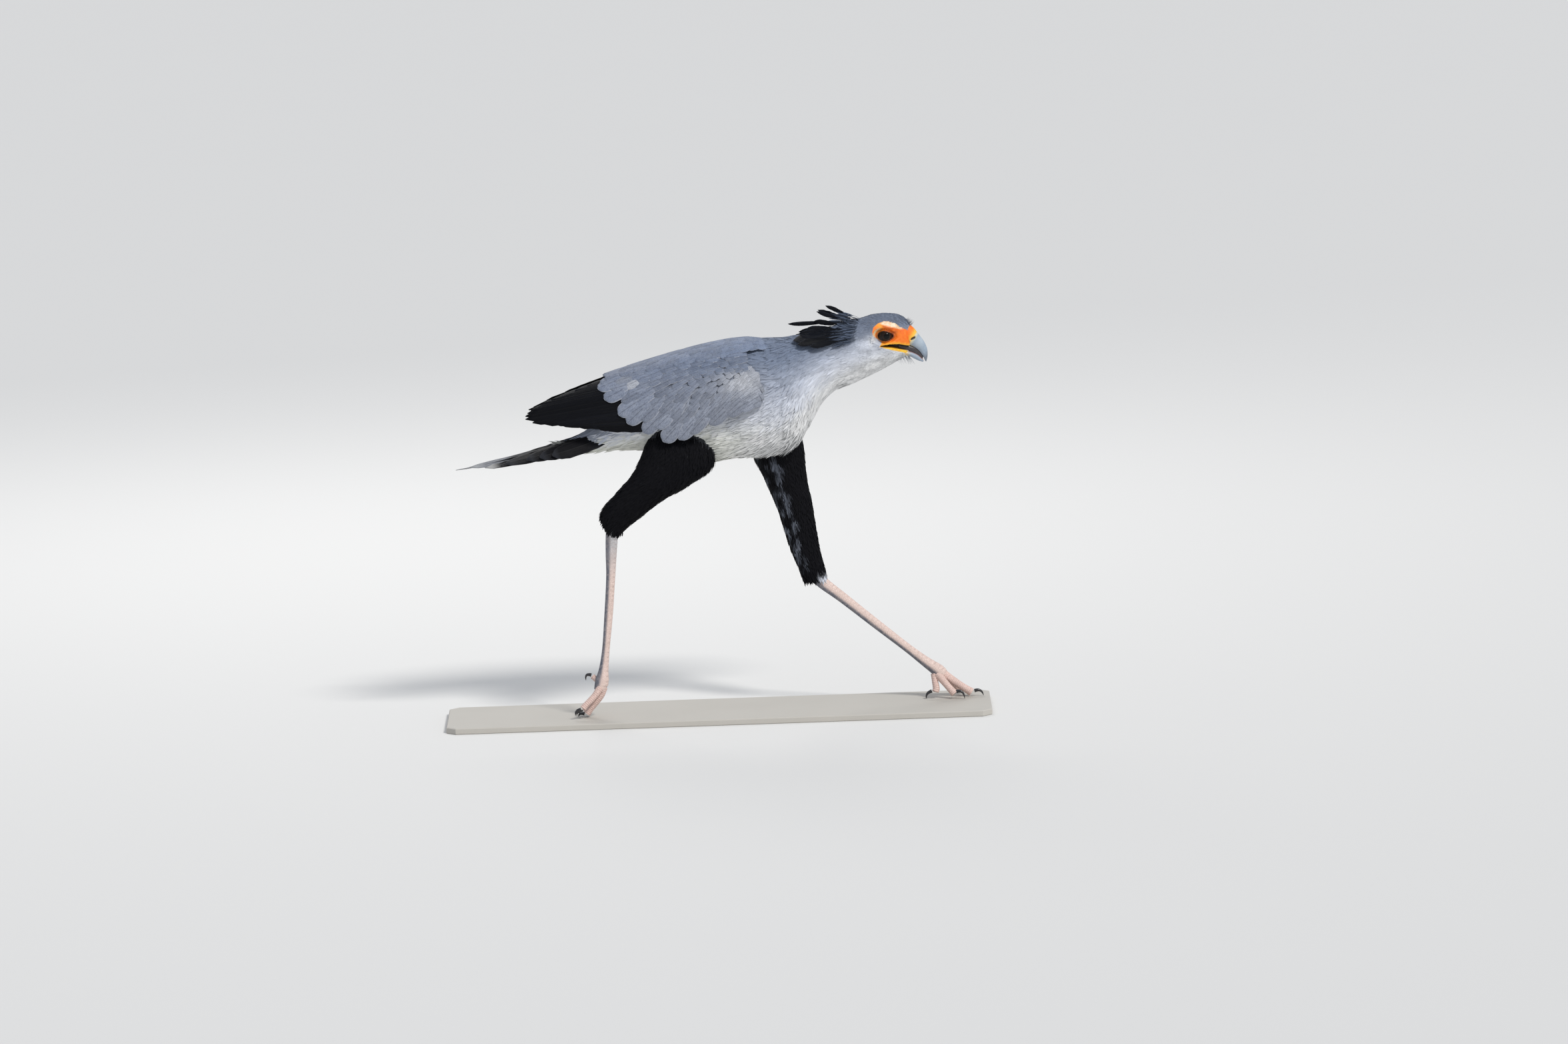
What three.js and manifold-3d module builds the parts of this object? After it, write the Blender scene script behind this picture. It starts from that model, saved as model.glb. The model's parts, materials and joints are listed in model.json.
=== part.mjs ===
// A life-size secretary bird at a run, on a flat display base.
// Millimetres, +Z up, +X towards the bill, the bird's left side at +Y. The origin is the middle of the base's
// underside.
import * as THREE from "three";
import { mergeVertices } from "three/addons/utils/BufferGeometryUtils.js";
import Module from "manifold-3d";

const wasm = await Module();
wasm.setup();

// Driving sizes
const GAP = 0.3; // left between two nodes that meet
const BASE = { length: 1080, width: 240, thickness: 12, corner: 18, bevel: 1.5 };
const SOLE = BASE.thickness + GAP; // the level that the feet rest at
const PLATE = 1.2; // thickness of a wing or tail vane
const SHINGLE = 0.9; // how far a wing vane's lower edge lies below its middle, under its neighbour
const TAIL_CUT = -182; // where the tail leaves the torso
const NECK_CUT = 186; // where the neck leaves the torso
const HEAD_CUT = 268; // where the head leaves the neck
const EYE = { x: 354.5, y: 18.5, z: 752, radius: 14 };
const CLAW_RADIUS = 3.4;
const CREST_PLATE = 1.1; // thickness of a crest feather
const BILL_GAP = GAP + 0.1; // round the bills and claws, whose faces are turned against the head's and feet's
const ANKLES = { right: 118, left: 106 }; // the levels where the feet leave the tarsi

// Sections of the trunk, tail to forehead: top x and z, bottom x and z, middle y, half width.
const TRUNK = [
  [-288, 556, -290, 549, 0, 5],
  [-262, 572, -266, 544, 0, 18],
  [-225, 598, -228, 539, 0, 33],
  [-180, 634, -184, 540, 0, 50],
  [-125, 676, -128, 536, 0, 66],
  [-60, 716, -60, 524, 0, 78],
  [5, 738, 8, 513, 0, 84],
  [70, 751, 72, 518, 0, 84],
  [118, 755, 128, 524, 0, 79],
  [160, 756, 176, 544, 0, 71],
  [190, 759, 203, 583, 0, 62],
  [222, 763, 229, 622, 0, 53],
  [250, 772, 256, 644, 0, 47],
  [280, 783, 285, 654, 0, 43],
  [309, 788, 316, 668, 0, 39],
  [334, 794, 340, 679, 0, 33.5],
  [360, 795, 360, 689, 0, 29.5],
  [382, 791, 377, 698, 0, 25.5],
  [398, 780, 391, 705, 0, 20],
  [407, 764, 398, 711, 0, 12],
];

// Sections of the upper bill with its cere, and of the lower bill, laid out as the trunk's are.
const UPPER_BILL = [
  [387, 783, 360, 734, 0, 21],
  [398, 774, 376, 734.5, 0, 18.5],
  [411, 763, 390, 732, 0, 15],
  [421, 749, 403, 728, 0, 11.5],
  [430, 736, 413, 723, 0, 8.8],
  [436, 721, 421, 715.5, 0, 6.2],
  [436.5, 706, 427.5, 706, 0, 4],
  [433.5, 695, 430.5, 697, 0, 1.6],
];
const LOWER_BILL = [
  [349, 729.5, 346, 724, 0, 19],
  [367, 727.5, 362, 716, 0, 16.5],
  [386, 722, 382, 711.5, 0, 13],
  [404, 716.8, 400, 707, 0, 9.5],
  [416, 711, 410, 701.5, 0, 7],
  [424, 703.5, 419, 697, 0, 4.6],
  [428.6, 697, 427, 694.6, 0, 1.8],
];
// The open mouth from the side: the upper edge from the gape to the tip, and the lower edge.
const MOUTH_TOP = [[346.5, 731.6], [362, 734.4], [381, 733.8], [399, 729.2], [413, 723.3], [422, 715]];
const MOUTH_BOTTOM = [[416, 711.6], [404, 717.3], [386, 722.6], [367, 727.9]];

// The wings' outer surface, a cloak round the trunk: x, top z, bottom z, half width.
const CLOAK = [
  [-400, 622, 580, 12],
  [-342, 641, 560, 31],
  [-298, 660, 540, 44],
  [-206, 689, 512, 68],
  [-127, 713, 492, 87],
  [-70, 728, 482, 97],
  [0, 744, 490, 103],
  [60, 753, 520, 101],
  [100, 753, 556, 91],
  [135, 745, 592, 70],
];
// Tips of the outermost row of coverts, from the rump round the lower edge to the bend of the wing: x, z.
const COVERT_EDGE = [
  [-214, 677], [-197, 642], [-167, 612], [-130, 586], [-78, 566], [-36, 582], [14, 605], [54, 621], [88, 637],
];
const SHOULDER = [78, 700]; // the rows of coverts close in on this point
// Each row of coverts: how far out its tips lie, how many feathers, their length and width.
const COVERT_ROWS = [
  { reach: 1.0, count: 10, length: 76, width: 36 },
  { reach: 0.8, count: 9, length: 60, width: 31 },
  { reach: 0.6, count: 7, length: 54, width: 29 },
  { reach: 0.41, count: 5, length: 46, width: 25 },
];
// Flight feathers, longest first: tip x and z, root x and z, width.
const FLIGHT = [
  [-366, 609, -120, 655, 27],
  [-356, 622, -125, 668, 29],
  [-341, 633, -130, 680, 30],
  [-331, 599, -112, 642, 29],
  [-301, 601, -106, 630, 30],
  [-273, 598, -100, 618, 31],
  [-244, 596, -92, 608, 31],
  [-211, 594, -84, 600, 31],
  [-296, 648, -130, 690, 26],
];

// Legs: front x and z, back x and z, middle y, half width.
const NEAR_THIGH = [
  [12, 575, -112, 606, -44, 30],
  [8, 512, -124, 566, -50, 37],
  [-40, 474, -150, 506, -53, 34],
  [-92, 446, -184, 466, -52, 28],
  [-138, 413, -209, 440, -50, 23.5],
  [-168, 390, -219, 420, -49, 19],
  [-180, 381, -215, 398, -49, 14],
];
const FAR_THIGH = [
  [178, 578, 84, 575, 42, 30],
  [186, 528, 84, 516, 49, 36],
  [191, 462, 101, 473, 52, 34],
  [197, 425, 117, 434, 52, 31],
  [203, 384, 132, 391, 51, 28],
  [211, 325, 148, 333, 50, 24],
  [219, 286, 163, 291, 49, 20],
  [223, 264, 173, 262, 48, 15],
];
const NEAR_TARSUS = [
  [-184, 404, -206, 410, -49, 8.5],
  [-187, 378, -211, 384, -49, 8.2],
  [-191, 340, -213, 342, -49, 7.4],
  [-196, 290, -214, 291, -48, 6.6],
  [-203, 220, -220, 221, -47, 6.4],
  [-212, 150, -227, 151, -46, 6.6],
  [-216, 108, -235, 110, -45, 8.4],
  [-217, 80, -243, 88, -45, 12],
  [-226, 62, -246, 70, -45, 12],
];
const FAR_TARSUS = [
  [214, 276, 194, 262, 49, 8.5],
  [224, 259, 203, 245, 49, 8.2],
  [264, 224, 247, 211, 48.5, 7.2],
  [325, 171, 311, 158, 47.5, 6.5],
  [384, 121, 371, 109, 46, 6.8],
  [418, 95, 404, 80, 45, 9],
  [446, 77, 424, 62, 45, 13],
  [456, 66, 438, 48, 45, 12],
];
// Toes: x, y, z and radius along each toe. Claws: the toe's end, the point, and how far the claw bows out.
const NEAR_FOOT = {
  digit3: {
    toe: [
      [-228, -45, 72, 9],
      [-233, -45, 57, 7.5],
      [-243, -44, 44, 7.4],
      [-254, -43, 31, 7],
      [-262, -42, 20.5, 7.8],
    ],
    claw: [[-267, -42, 19.5], [-279, -41, 13.5], [-3, 3]],
  },
  digit4: {
    toe: [
      [-234, -51, 72, 8],
      [-243, -57, 60, 6.6],
      [-253, -61, 50, 6.4],
      [-263, -64, 41, 6.2],
      [-269, -66, 34.5, 6.6],
    ],
    claw: [[-273, -67, 33], [-284, -69, 21], [-4, 2]],
  },
  digit2: {
    toe: [
      [-234, -38, 70, 8],
      [-241, -32, 56, 6.6],
      [-250, -28, 43, 6.6],
      [-259, -26, 31, 6.4],
      [-266, -25, 22, 7],
    ],
    claw: [[-271, -25, 21], [-283, -24, 13.5], [-3, 3]],
  },
  digit1: {
    toe: [
      [-236, -40, 84, 7],
      [-243, -35, 88, 5.6],
      [-248, -32, 92, 5.6],
    ],
    claw: [[-251, -31, 95], [-262, -29, 84], [-4, 5]],
  },
};
const FAR_FOOT = {
  digit3: {
    toe: [
      [440, 45, 66, 10],
      [458, 45, 52, 8.6],
      [474, 45, 40, 8],
      [490, 45, 29, 7.6],
      [503, 45, 20.5, 8.6],
    ],
    claw: [[509, 45, 23], [527, 45, 12.8], [3, 5]],
  },
  digit2: {
    toe: [
      [437, 40, 60, 9],
      [448, 32, 47, 7.4],
      [459, 25, 34, 7],
      [469, 21, 22.5, 8],
    ],
    claw: [[473, 20, 27], [489, 15, 12.8], [3, 6]],
  },
  digit4: {
    toe: [
      [439, 52, 60, 9],
      [455, 60, 45, 7],
      [470, 67, 32, 6.6],
      [483, 72, 21, 7.4],
    ],
    claw: [[488, 74, 24], [503, 78, 12.8], [3, 5]],
  },
  digit1: {
    toe: [
      [431, 42, 60, 8],
      [431, 37, 47, 6.4],
      [433, 33, 33, 7],
      [431, 31, 26, 7],
    ],
    claw: [[424, 30, 28], [413, 28, 12.8], [-4, 2]],
  },
};

// Crest feathers of one side: root x and z, tip x and z, the blade's half width, how far it stands off the neck.
const CREST = [
  [302, 783, 239, 814, 3.6, 4],
  [298, 780, 220, 803, 4.2, 4],
  [295, 784, 165, 779, 3.8, 5],
  [288, 773, 214, 784, 5, 6],
  [286, 769, 199, 768, 6.5, 8],
  [285, 765, 184, 761, 7, 10],
  [286, 760, 172, 751, 7.5, 11],
  [287, 755, 180, 744, 7, 12],
  [290, 751, 205, 740, 6.5, 11],
];

// Tail feathers: where they root, their fall in degrees, width, number of pairs and sag. Lengths run outwards.
const TAIL = { root: [-214, 0, 583], slope: 15.2, width: 34, pairs: 5, sag: 9 };
const TAIL_LENGTHS = [301, 246, 204, 168, 140];

const COLOURS = {
  plumage: 0x9aa3b5, pale: 0xcfd3da, black: 0x15161a, face: 0xf08a1c, horn: 0xa9b6c6,
  eye: 0x1a100a, leg: 0xd8b9ae, claw: 0x1b1c20, tail: 0x4b4e55, base: 0xcbbfa9,
};

// Spline value of a table's rows at s, from 0 to the last row's number.
function rowAt(rows, s) {
  const last = rows.length - 1;
  const i = Math.min(Math.floor(s), last - 1);
  const t = s - i;
  const pick = (k) => rows[Math.max(0, Math.min(last, k))];
  return rows[i].map((_, c) => {
    const [a, b, d, e] = [pick(i - 1)[c], pick(i)[c], pick(i + 1)[c], pick(i + 2)[c]];
    const bend = (2 * a - 5 * b + 4 * d - e) * t * t + (3 * b - a - 3 * d + e) * t * t * t;
    return 0.5 * (2 * b + (d - a) * t + bend);
  });
}

// A row's values where its first column holds the value x.
function rowWhere(rows, x) {
  let low = 0;
  let high = rows.length - 1;
  for (let n = 0; n < 30; n++) {
    const middle = (low + high) / 2;
    if (rowAt(rows, middle)[0] < x) low = middle;
    else high = middle;
  }
  return rowAt(rows, (low + high) / 2);
}

// A repeatable stream of numbers between -1 and 1.
function shaker(seed) {
  let state = seed;
  return () => {
    state = (state * 1664525 + 1013904223) % 4294967296;
    return state / 2147483648 - 1;
  };
}

// A closed solid from points and triangles, turned so that its faces point out.
function closed(points, faces) {
  let volume = 0;
  for (const [a, b, c] of faces)
    volume += points[a].dot(new THREE.Vector3().crossVectors(points[b], points[c]));
  const turned = volume < 0 ? faces.map(([a, b, c]) => [a, c, b]) : faces;
  return new wasm.Manifold(
    new wasm.Mesh({
      numProp: 3,
      vertProperties: new Float32Array(points.flatMap((p) => [p.x, p.y, p.z])),
      triVerts: new Uint32Array(turned.flat()),
    }),
  );
}

// Joins rings of as many points each into a closed solid.
function loft(rings) {
  const sides = rings[0].length;
  const points = rings.flat();
  const faces = [];
  for (let i = 0; i + 1 < rings.length; i++)
    for (let j = 0; j < sides; j++) {
      const a = i * sides + j;
      const b = i * sides + ((j + 1) % sides);
      faces.push([a, b, b + sides], [a, b + sides, a + sides]);
    }
  for (const [start, flip] of [[0, false], [(rings.length - 1) * sides, true]]) {
    const middle = new THREE.Vector3();
    for (let j = 0; j < sides; j++) middle.addScaledVector(points[start + j], 1 / sides);
    points.push(middle);
    for (let j = 0; j < sides; j++) {
      const a = start + j;
      const b = start + ((j + 1) % sides);
      faces.push(flip ? [points.length - 1, a, b] : [points.length - 1, b, a]);
    }
  }
  return closed(points, faces);
}

// A body part lofted through sections that stand in planes across the X-Z plane.
function sectioned(rows, count, sides, grow = 0) {
  const rings = [];
  for (let i = 0; i <= count; i++) {
    const [ax, az, bx, bz, y, w] = rowAt(rows, (i / count) * (rows.length - 1));
    const h = Math.hypot(ax - bx, az - bz) / 2;
    const ring = [];
    for (let j = 0; j < sides; j++) {
      const turn = (2 * Math.PI * j) / sides;
      const along = (Math.cos(turn) * (h + grow)) / h;
      ring.push(new THREE.Vector3(
        (ax + bx) / 2 + ((ax - bx) / 2) * along,
        y + Math.sin(turn) * (w + grow),
        (az + bz) / 2 + ((az - bz) / 2) * along,
      ));
    }
    rings.push(ring);
  }
  return loft(rings);
}

// A round limb along points that carry a radius: x, y, z, radius.
function limb(rows, count, sides, flat = 1) {
  const rings = [];
  for (let i = 0; i <= count; i++) {
    const s = (i / count) * (rows.length - 1);
    const [x, y, z, r] = rowAt(rows, s);
    const ahead = rowAt(rows, Math.min(rows.length - 1, s + 0.05));
    const behind = rowAt(rows, Math.max(0, s - 0.05));
    const way = new THREE.Vector3(...ahead).sub(new THREE.Vector3(...behind)).normalize();
    const across = new THREE.Vector3(0, 1, 0).addScaledVector(way, -way.y).normalize();
    const up = new THREE.Vector3().crossVectors(way, across);
    const ring = [];
    for (let j = 0; j < sides; j++) {
      const turn = (2 * Math.PI * (j + 0.5)) / sides;
      ring.push(new THREE.Vector3(x, y, z)
        .addScaledVector(across, Math.cos(turn) * r * flat)
        .addScaledVector(up, Math.sin(turn) * r));
    }
    rings.push(ring);
  }
  return loft(rings);
}

// A thin plate from a top and a bottom sheet of rows of points, both split into triangles alike.
function plate(top, bottom) {
  const across = top[0].length;
  const layer = top.length * across;
  const points = [...top.flat(), ...bottom.flat()];
  const faces = [];
  const quad = (a, b, c, d) => faces.push([a, b, c], [a, c, d]);
  for (let i = 0; i + 1 < top.length; i++) {
    for (let k = 0; k + 1 < across; k++) {
      const a = i * across + k;
      const [b, c, d] = [a + across, a + across + 1, a + 1];
      faces.push([a, b, c], [a, c, d], [a + layer, c + layer, b + layer], [a + layer, d + layer, c + layer]);
    }
    const left = i * across;
    const right = left + across - 1;
    quad(left, left + layer, left + layer + across, left + across);
    quad(right, right + across, right + across + layer, right + layer);
  }
  const end = (top.length - 1) * across;
  for (let k = 0; k + 1 < across; k++) {
    quad(k, k + 1, k + 1 + layer, k + layer);
    quad(end + k, end + k + layer, end + k + 1 + layer, end + k + 1);
  }
  return closed(points, faces);
}

// Point of the cloak at x and a turn from its top, the direction out of it, and its length for each radian.
function cloak(x, turn) {
  const at = (px, pt) => {
    const [, top, bottom, w] = rowWhere(CLOAK, px);
    return new THREE.Vector3(px, Math.sin(pt) * w, (top + bottom) / 2 + (Math.cos(pt) * (top - bottom)) / 2);
  };
  const p = at(x, turn);
  const alongX = at(x + 1, turn).sub(at(x - 1, turn));
  const alongTurn = at(x, turn + 0.01).sub(at(x, turn - 0.01));
  const out = new THREE.Vector3().crossVectors(alongX, alongTurn).normalize();
  if (out.y < 0) out.negate();
  return { point: p, out, reach: alongTurn.length() / 0.02 };
}

// The turn from the cloak's top at which its surface has height z.
function turnAt(x, z) {
  const [, top, bottom] = rowWhere(CLOAK, x);
  return Math.acos(Math.max(-1, Math.min(0.985, (z - (top + bottom) / 2) / ((top - bottom) / 2))));
}

const ROUND_BLADE = [[0, 0.6], [0.45, 1], [0.8, 0.85], [1, 0.3]];
const CREST_BLADE = [[0, 0.22], [0.25, 0.2], [0.5, 0.75], [0.8, 1], [1, 0.14]];
const TAIL_BLADE = [[0, 0.5], [0.3, 0.9], [0.65, 1], [0.92, 0.65], [1, 0.14]];
const LONG_BLADE = [[0, 0.7], [0.45, 1], [0.88, 0.7], [1, 0.16]];

// A feather that lies on the cloak from a root to a tip given as x and z. It starts sunk and ends raised.
function surfaceVane(root, tip, width, blade, sunk, raised, side) {
  const turns = [turnAt(...root), turnAt(...tip)];
  const top = [];
  const bottom = [];
  const slope = Math.atan2(tip[1] - root[1], tip[0] - root[0]);
  for (const [t, share] of blade) {
    const x = root[0] + (tip[0] - root[0]) * t;
    const turn = turns[0] + (turns[1] - turns[0]) * t;
    const { reach } = cloak(x, turn);
    const middle = sunk + (raised - sunk) * Math.min(1, t / 0.45);
    const half = (width / 2) * share;
    const ends = [-1, 1].map((k) => {
      const lift = middle + k * SHINGLE * share;
      const edgeTurn = Math.max(0.12, turn - (k * Math.cos(slope) * half) / reach);
      const edge = cloak(x - k * Math.sin(slope) * half, edgeTurn);
      return [lift, lift - PLATE].map((d) => {
        const p = edge.point.clone().addScaledVector(edge.out, d);
        p.y = Math.max(p.y, GAP + (d === lift ? 2.2 : 1));
        p.y *= side;
        return p;
      });
    });
    top.push(ends.map((e) => e[0]));
    bottom.push(ends.map((e) => e[1]));
  }
  return plate(top, bottom);
}

// A free feather: a shaft that widens into a blade. The blade stands across the given direction.
function plume(root, tip, bow, profile, across, thickness) {
  const a = new THREE.Vector3(...root);
  const b = new THREE.Vector3(...tip);
  const way = b.clone().sub(a).normalize();
  const side = across.clone().addScaledVector(way, -across.dot(way)).normalize();
  const face = new THREE.Vector3().crossVectors(way, side);
  const top = [];
  const bottom = [];
  for (const [t, half] of profile) {
    const middle = a.clone().lerp(b, t).addScaledVector(face, bow * 4 * t * (1 - t));
    const ends = [-1, 1].map((k) => middle.clone().addScaledVector(side, k * half));
    top.push(ends.map((p) => p.clone().addScaledVector(face, thickness / 2)));
    bottom.push(ends.map((p) => p.clone().addScaledVector(face, -thickness / 2)));
  }
  return plate(top, bottom);
}

// A prism across Y over an outline in the X-Z plane.
function prism(outline, y0, y1) {
  const shape = new THREE.Shape(outline.map(([x, z]) => new THREE.Vector2(x, z)));
  const g = new THREE.ExtrudeGeometry(shape, { depth: y1 - y0, bevelEnabled: false });
  g.applyMatrix4(new THREE.Matrix4().set(1, 0, 0, 0, 0, 0, -1, y1, 0, 1, 0, 0, 0, 0, 0, 1));
  return fromGeometry(g);
}

// A three.js geometry as a solid.
function fromGeometry(geometry) {
  const g = geometry.clone();
  g.deleteAttribute("normal");
  g.deleteAttribute("uv");
  const merged = mergeVertices(g, 1e-4);
  const position = merged.attributes.position;
  const points = [];
  for (let i = 0; i < position.count; i++) points.push(new THREE.Vector3().fromBufferAttribute(position, i));
  const faces = [];
  for (let i = 0; i < merged.index.count; i += 3)
    faces.push([merged.index.getX(i), merged.index.getX(i + 1), merged.index.getX(i + 2)]);
  return closed(points, faces);
}

// A ball squeezed to three radii and turned about Y, in degrees.
function ball(centre, radii, detail = 12, tilt = 0) {
  const g = new THREE.SphereGeometry(1, detail * 2, detail);
  g.scale(...radii);
  g.rotateX(Math.PI / 2);
  g.rotateY(THREE.MathUtils.degToRad(tilt));
  g.translate(...centre);
  return fromGeometry(g);
}

const SLIVER = 0.3; // detail finer than this, left along a cut, is merged away
const union = (pieces) => wasm.Manifold.union(pieces);
const bigger = (a, b) => (b.volume() > a.volume() ? b : a);
const largest = (solid) => solid.simplify(SLIVER).decompose().reduce(bigger);

// What lies on one side of a plane that cuts the trunk across at x, leaning by some millimetres.
function cut(solid, x, lean, ahead) {
  const normal = new THREE.Vector3(1, 0, lean).normalize();
  const offset = normal.x * x + normal.z * 650;
  return ahead
    ? solid.trimByPlane([normal.x, 0, normal.z], offset + GAP / 2)
    : solid.trimByPlane([-normal.x, 0, -normal.z], -(offset - GAP / 2));
}

const TRUNK_RINGS = 30;
const trunk = sectioned(TRUNK, TRUNK_RINGS, 18);
// The room that the fan of the tail and the thighs take, left free by the wings
const TAIL_ROOM = [
  [-150, 640, -160, 560, 0, 40],
  [-214, 608, -222, 560, 0, 37],
  [-300, 582, -308, 538, 0, 41],
  [-420, 545, -424, 508, 0, 42],
];
const tailRoom = sectioned(TAIL_ROOM, 6, 12);
const thighRoom = union([sectioned(NEAR_THIGH, 12, 14, GAP + 0.4), sectioned(FAR_THIGH, 12, 14, GAP + 0.4)]);
const trunkGrown = sectioned(TRUNK, TRUNK_RINGS, 18, GAP + 0.25);

function makeTorso() {
  return largest(cut(cut(trunk, TAIL_CUT, 0, true), NECK_CUT, -0.1, false));
}

function makeNeck() {
  return largest(cut(cut(trunk, NECK_CUT, -0.1, true), HEAD_CUT, -0.15, false));
}

// Tail: the rear of the trunk with its coverts, and a fan of long vanes, the middle pair on top.
function makeTail() {
  const pieces = [cut(trunk, TAIL_CUT, 0, false)];
  const [x, , z] = TAIL.root;
  for (let i = 0; i < TAIL.pairs; i++)
    for (const side of [-1, 1]) {
      const reach = TAIL_LENGTHS[i] - (i === 0 && side < 0 ? 28 : 0);
      const splay = THREE.MathUtils.degToRad(side * (1.2 + 2.1 * i));
      const slope = THREE.MathUtils.degToRad(TAIL.slope);
      const roll = THREE.MathUtils.degToRad(side * (14 + 9 * i));
      const root = [x + 3 * i, side * (4 + 4.5 * i), z - 3.6 * i];
      const tip = [
        root[0] - reach * Math.cos(slope) * Math.cos(splay),
        root[1] + reach * Math.sin(splay),
        root[2] - reach * Math.sin(slope) + (i === 0 ? 5 : 0),
      ];
      const half = TAIL.width / 2;
      const profile = TAIL_BLADE.map(([t, share]) => [t, half * share]);
      const across = new THREE.Vector3(0, Math.cos(roll), -Math.sin(roll));
      pieces.push(plume(root, tip, TAIL.sag * (reach / TAIL_LENGTHS[0]), profile, across, PLATE));
    }
  return largest(union(pieces));
}

// A claw: a curved cone from the toe's end to its point.
function makeClaw([from, to, bow], radius) {
  const rows = [0, 0.3, 0.6, 0.85, 1].map((t) => {
    const arch = 4 * t * (1 - t);
    return [
      from[0] + (to[0] - from[0]) * t + bow[0] * arch,
      from[1] + (to[1] - from[1]) * t,
      from[2] + (to[2] - from[2]) * t + bow[1] * arch,
      radius * (1 - t) ** 0.7 + 0.35,
    ];
  });
  return limb(rows, 5, 6, 0.85);
}

// A foot: toes joined to the tarsus, with flat soles, less the sockets of its claws.
function makeFoot(foot, tarsus, ankleZ) {
  const toes = Object.values(foot).map(({ toe }) => limb(toe, 2 * (toe.length - 1), 8));
  const joined = union([...toes, sectioned(tarsus, 16, 10).trimByPlane([0, 0, -1], -ankleZ)]);
  const claws = Object.values(foot).map(({ claw }) => makeClaw(claw, CLAW_RADIUS + BILL_GAP));
  return largest(joined.subtract(union(claws)).trimByPlane([0, 0, 1], SOLE));
}

// A wing: a core between the trunk and the cloak, with tiers of coverts and the flight feathers fused on.
function makeWing(side) {
  const shake = shaker(side > 0 ? 7 : 11);
  const rings = [];
  for (let i = 0; i <= 10; i++) {
    const x = -300 + (i / 10) * 434;
    const ring = [];
    for (let j = 0; j < 16; j++) {
      const c = cloak(x, (2 * Math.PI * j) / 16);
      ring.push(c.point);
    }
    rings.push(ring);
  }
  const toShoulder = (point, f) => point.map((value, i) => SHOULDER[i] + (value - SHOULDER[i]) * f);
  const inner = (f) => COVERT_EDGE.map((point) => toShoulder(point, f));
  const back = [[84, 728], [20, 731], [-50, 722], [-130, 706], [-190, 684]];
  const outline = [...inner(0.9), [92, 655], [94, 700], ...back];
  let core = loft(rings).intersect(prism(outline, 2, 140)).subtract(trunkGrown);
  const flip = (p) => p.mirror([0, 1, 0]);
  core = side < 0 ? flip(core) : core;
  const pieces = [core];
  for (const [tx, tz, rx, rz, width] of FLIGHT)
    pieces.push(
      surfaceVane([rx, rz], [tx + 2 * shake(), tz], width, LONG_BLADE, -4, -1.4 + 0.6 * shake(), side),
    );
  for (const row of COVERT_ROWS) {
    for (let i = 0; i < row.count; i++) {
      const share = i / (row.count - 1);
      const [ex, ez] = rowAt(COVERT_EDGE, share * (COVERT_EDGE.length - 1));
      const tip = toShoulder([ex, ez], row.reach);
      const swell = 62 * Math.sin(Math.PI * Math.min(1, share * 1.15)) * 0.62;
      const lean = THREE.MathUtils.degToRad(12 + swell + 20 * share + 3 * shake());
      const root = [tip[0] + row.length * Math.cos(lean), tip[1] + row.length * Math.sin(lean)];
      pieces.push(surfaceVane(root, tip, row.width * (1 + 0.06 * shake()), ROUND_BLADE, -3.4, 1.3, side));
    }
  }
  return largest(union(pieces).subtract(union([trunkGrown, tailRoom, thighRoom])));
}

// The head with its brows, lids and crest, less the sockets, the open mouth and the bill.
function makeHead() {
  const pieces = [cut(trunk, HEAD_CUT, -0.15, true)];
  const sockets = [];
  for (const side of [-1, 1]) {
    const { x, y, z, radius } = EYE;
    pieces.push(ball([x + 6, side * (y + 1.5), z + 11], [22, 7, 4], 5, -9));
    pieces.push(lids(side));
    sockets.push(eyeball(side, GAP));
    for (const row of CREST) pieces.push(crestFeather(row, side));
  }
  const palate = MOUTH_TOP.map(([x, z]) => [x, z + 1.7]);
  const mouth = prism([...palate, [440, 690], ...MOUTH_BOTTOM], -60, 60);
  const bill = [sectioned(UPPER_BILL, 14, 14, BILL_GAP), sectioned(LOWER_BILL, 10, 10, BILL_GAP)];
  const nape = cut(trunkGrown, HEAD_CUT, -0.15, false);
  return largest(union(pieces).subtract(union([...sockets, mouth, nape, ...bill])));
}

// Half the trunk's width at x and height z, or 0 above it.
function trunkSide(x, z) {
  const [ax, az, bx, bz, , w] = rowWhere(TRUNK, x);
  const level = (z - (az + bz) / 2) / ((az - bz) / 2);
  return level < 1 ? w * Math.sqrt(1 - level * level) : 0;
}

// A crest feather: a bare quill sunk in the nape, then a blade that clears the side of the neck.
function crestFeather([rx, rz, tx, tz, half, stand], side) {
  const way = new THREE.Vector2(tx - rx, tz - rz).normalize();
  const top = [];
  const bottom = [];
  for (const [t, share] of CREST_BLADE) {
    const ends = [-1, 1].map((k) => {
      const x = rx + (tx - rx) * t + way.y * k * share * half;
      const z = rz + (tz - rz) * t - way.x * k * share * half;
      const clear = t < 0.1 ? -3 : 1.2 + stand * t - k * 1.1 * share;
      return [x, Math.max(2 + stand * t, trunkSide(x, z) + clear), z];
    });
    top.push(ends.map(([x, y, z]) => new THREE.Vector3(x, side * (y + CREST_PLATE), z)));
    bottom.push(ends.map(([x, y, z]) => new THREE.Vector3(x, side * y, z)));
  }
  return plate(top, bottom);
}

// An eye, or with a larger radius its socket.
function eyeball(side, grow) {
  const radius = EYE.radius + grow;
  return ball([EYE.x, side * EYE.y, EYE.z], [radius, radius, radius], 7);
}

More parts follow.
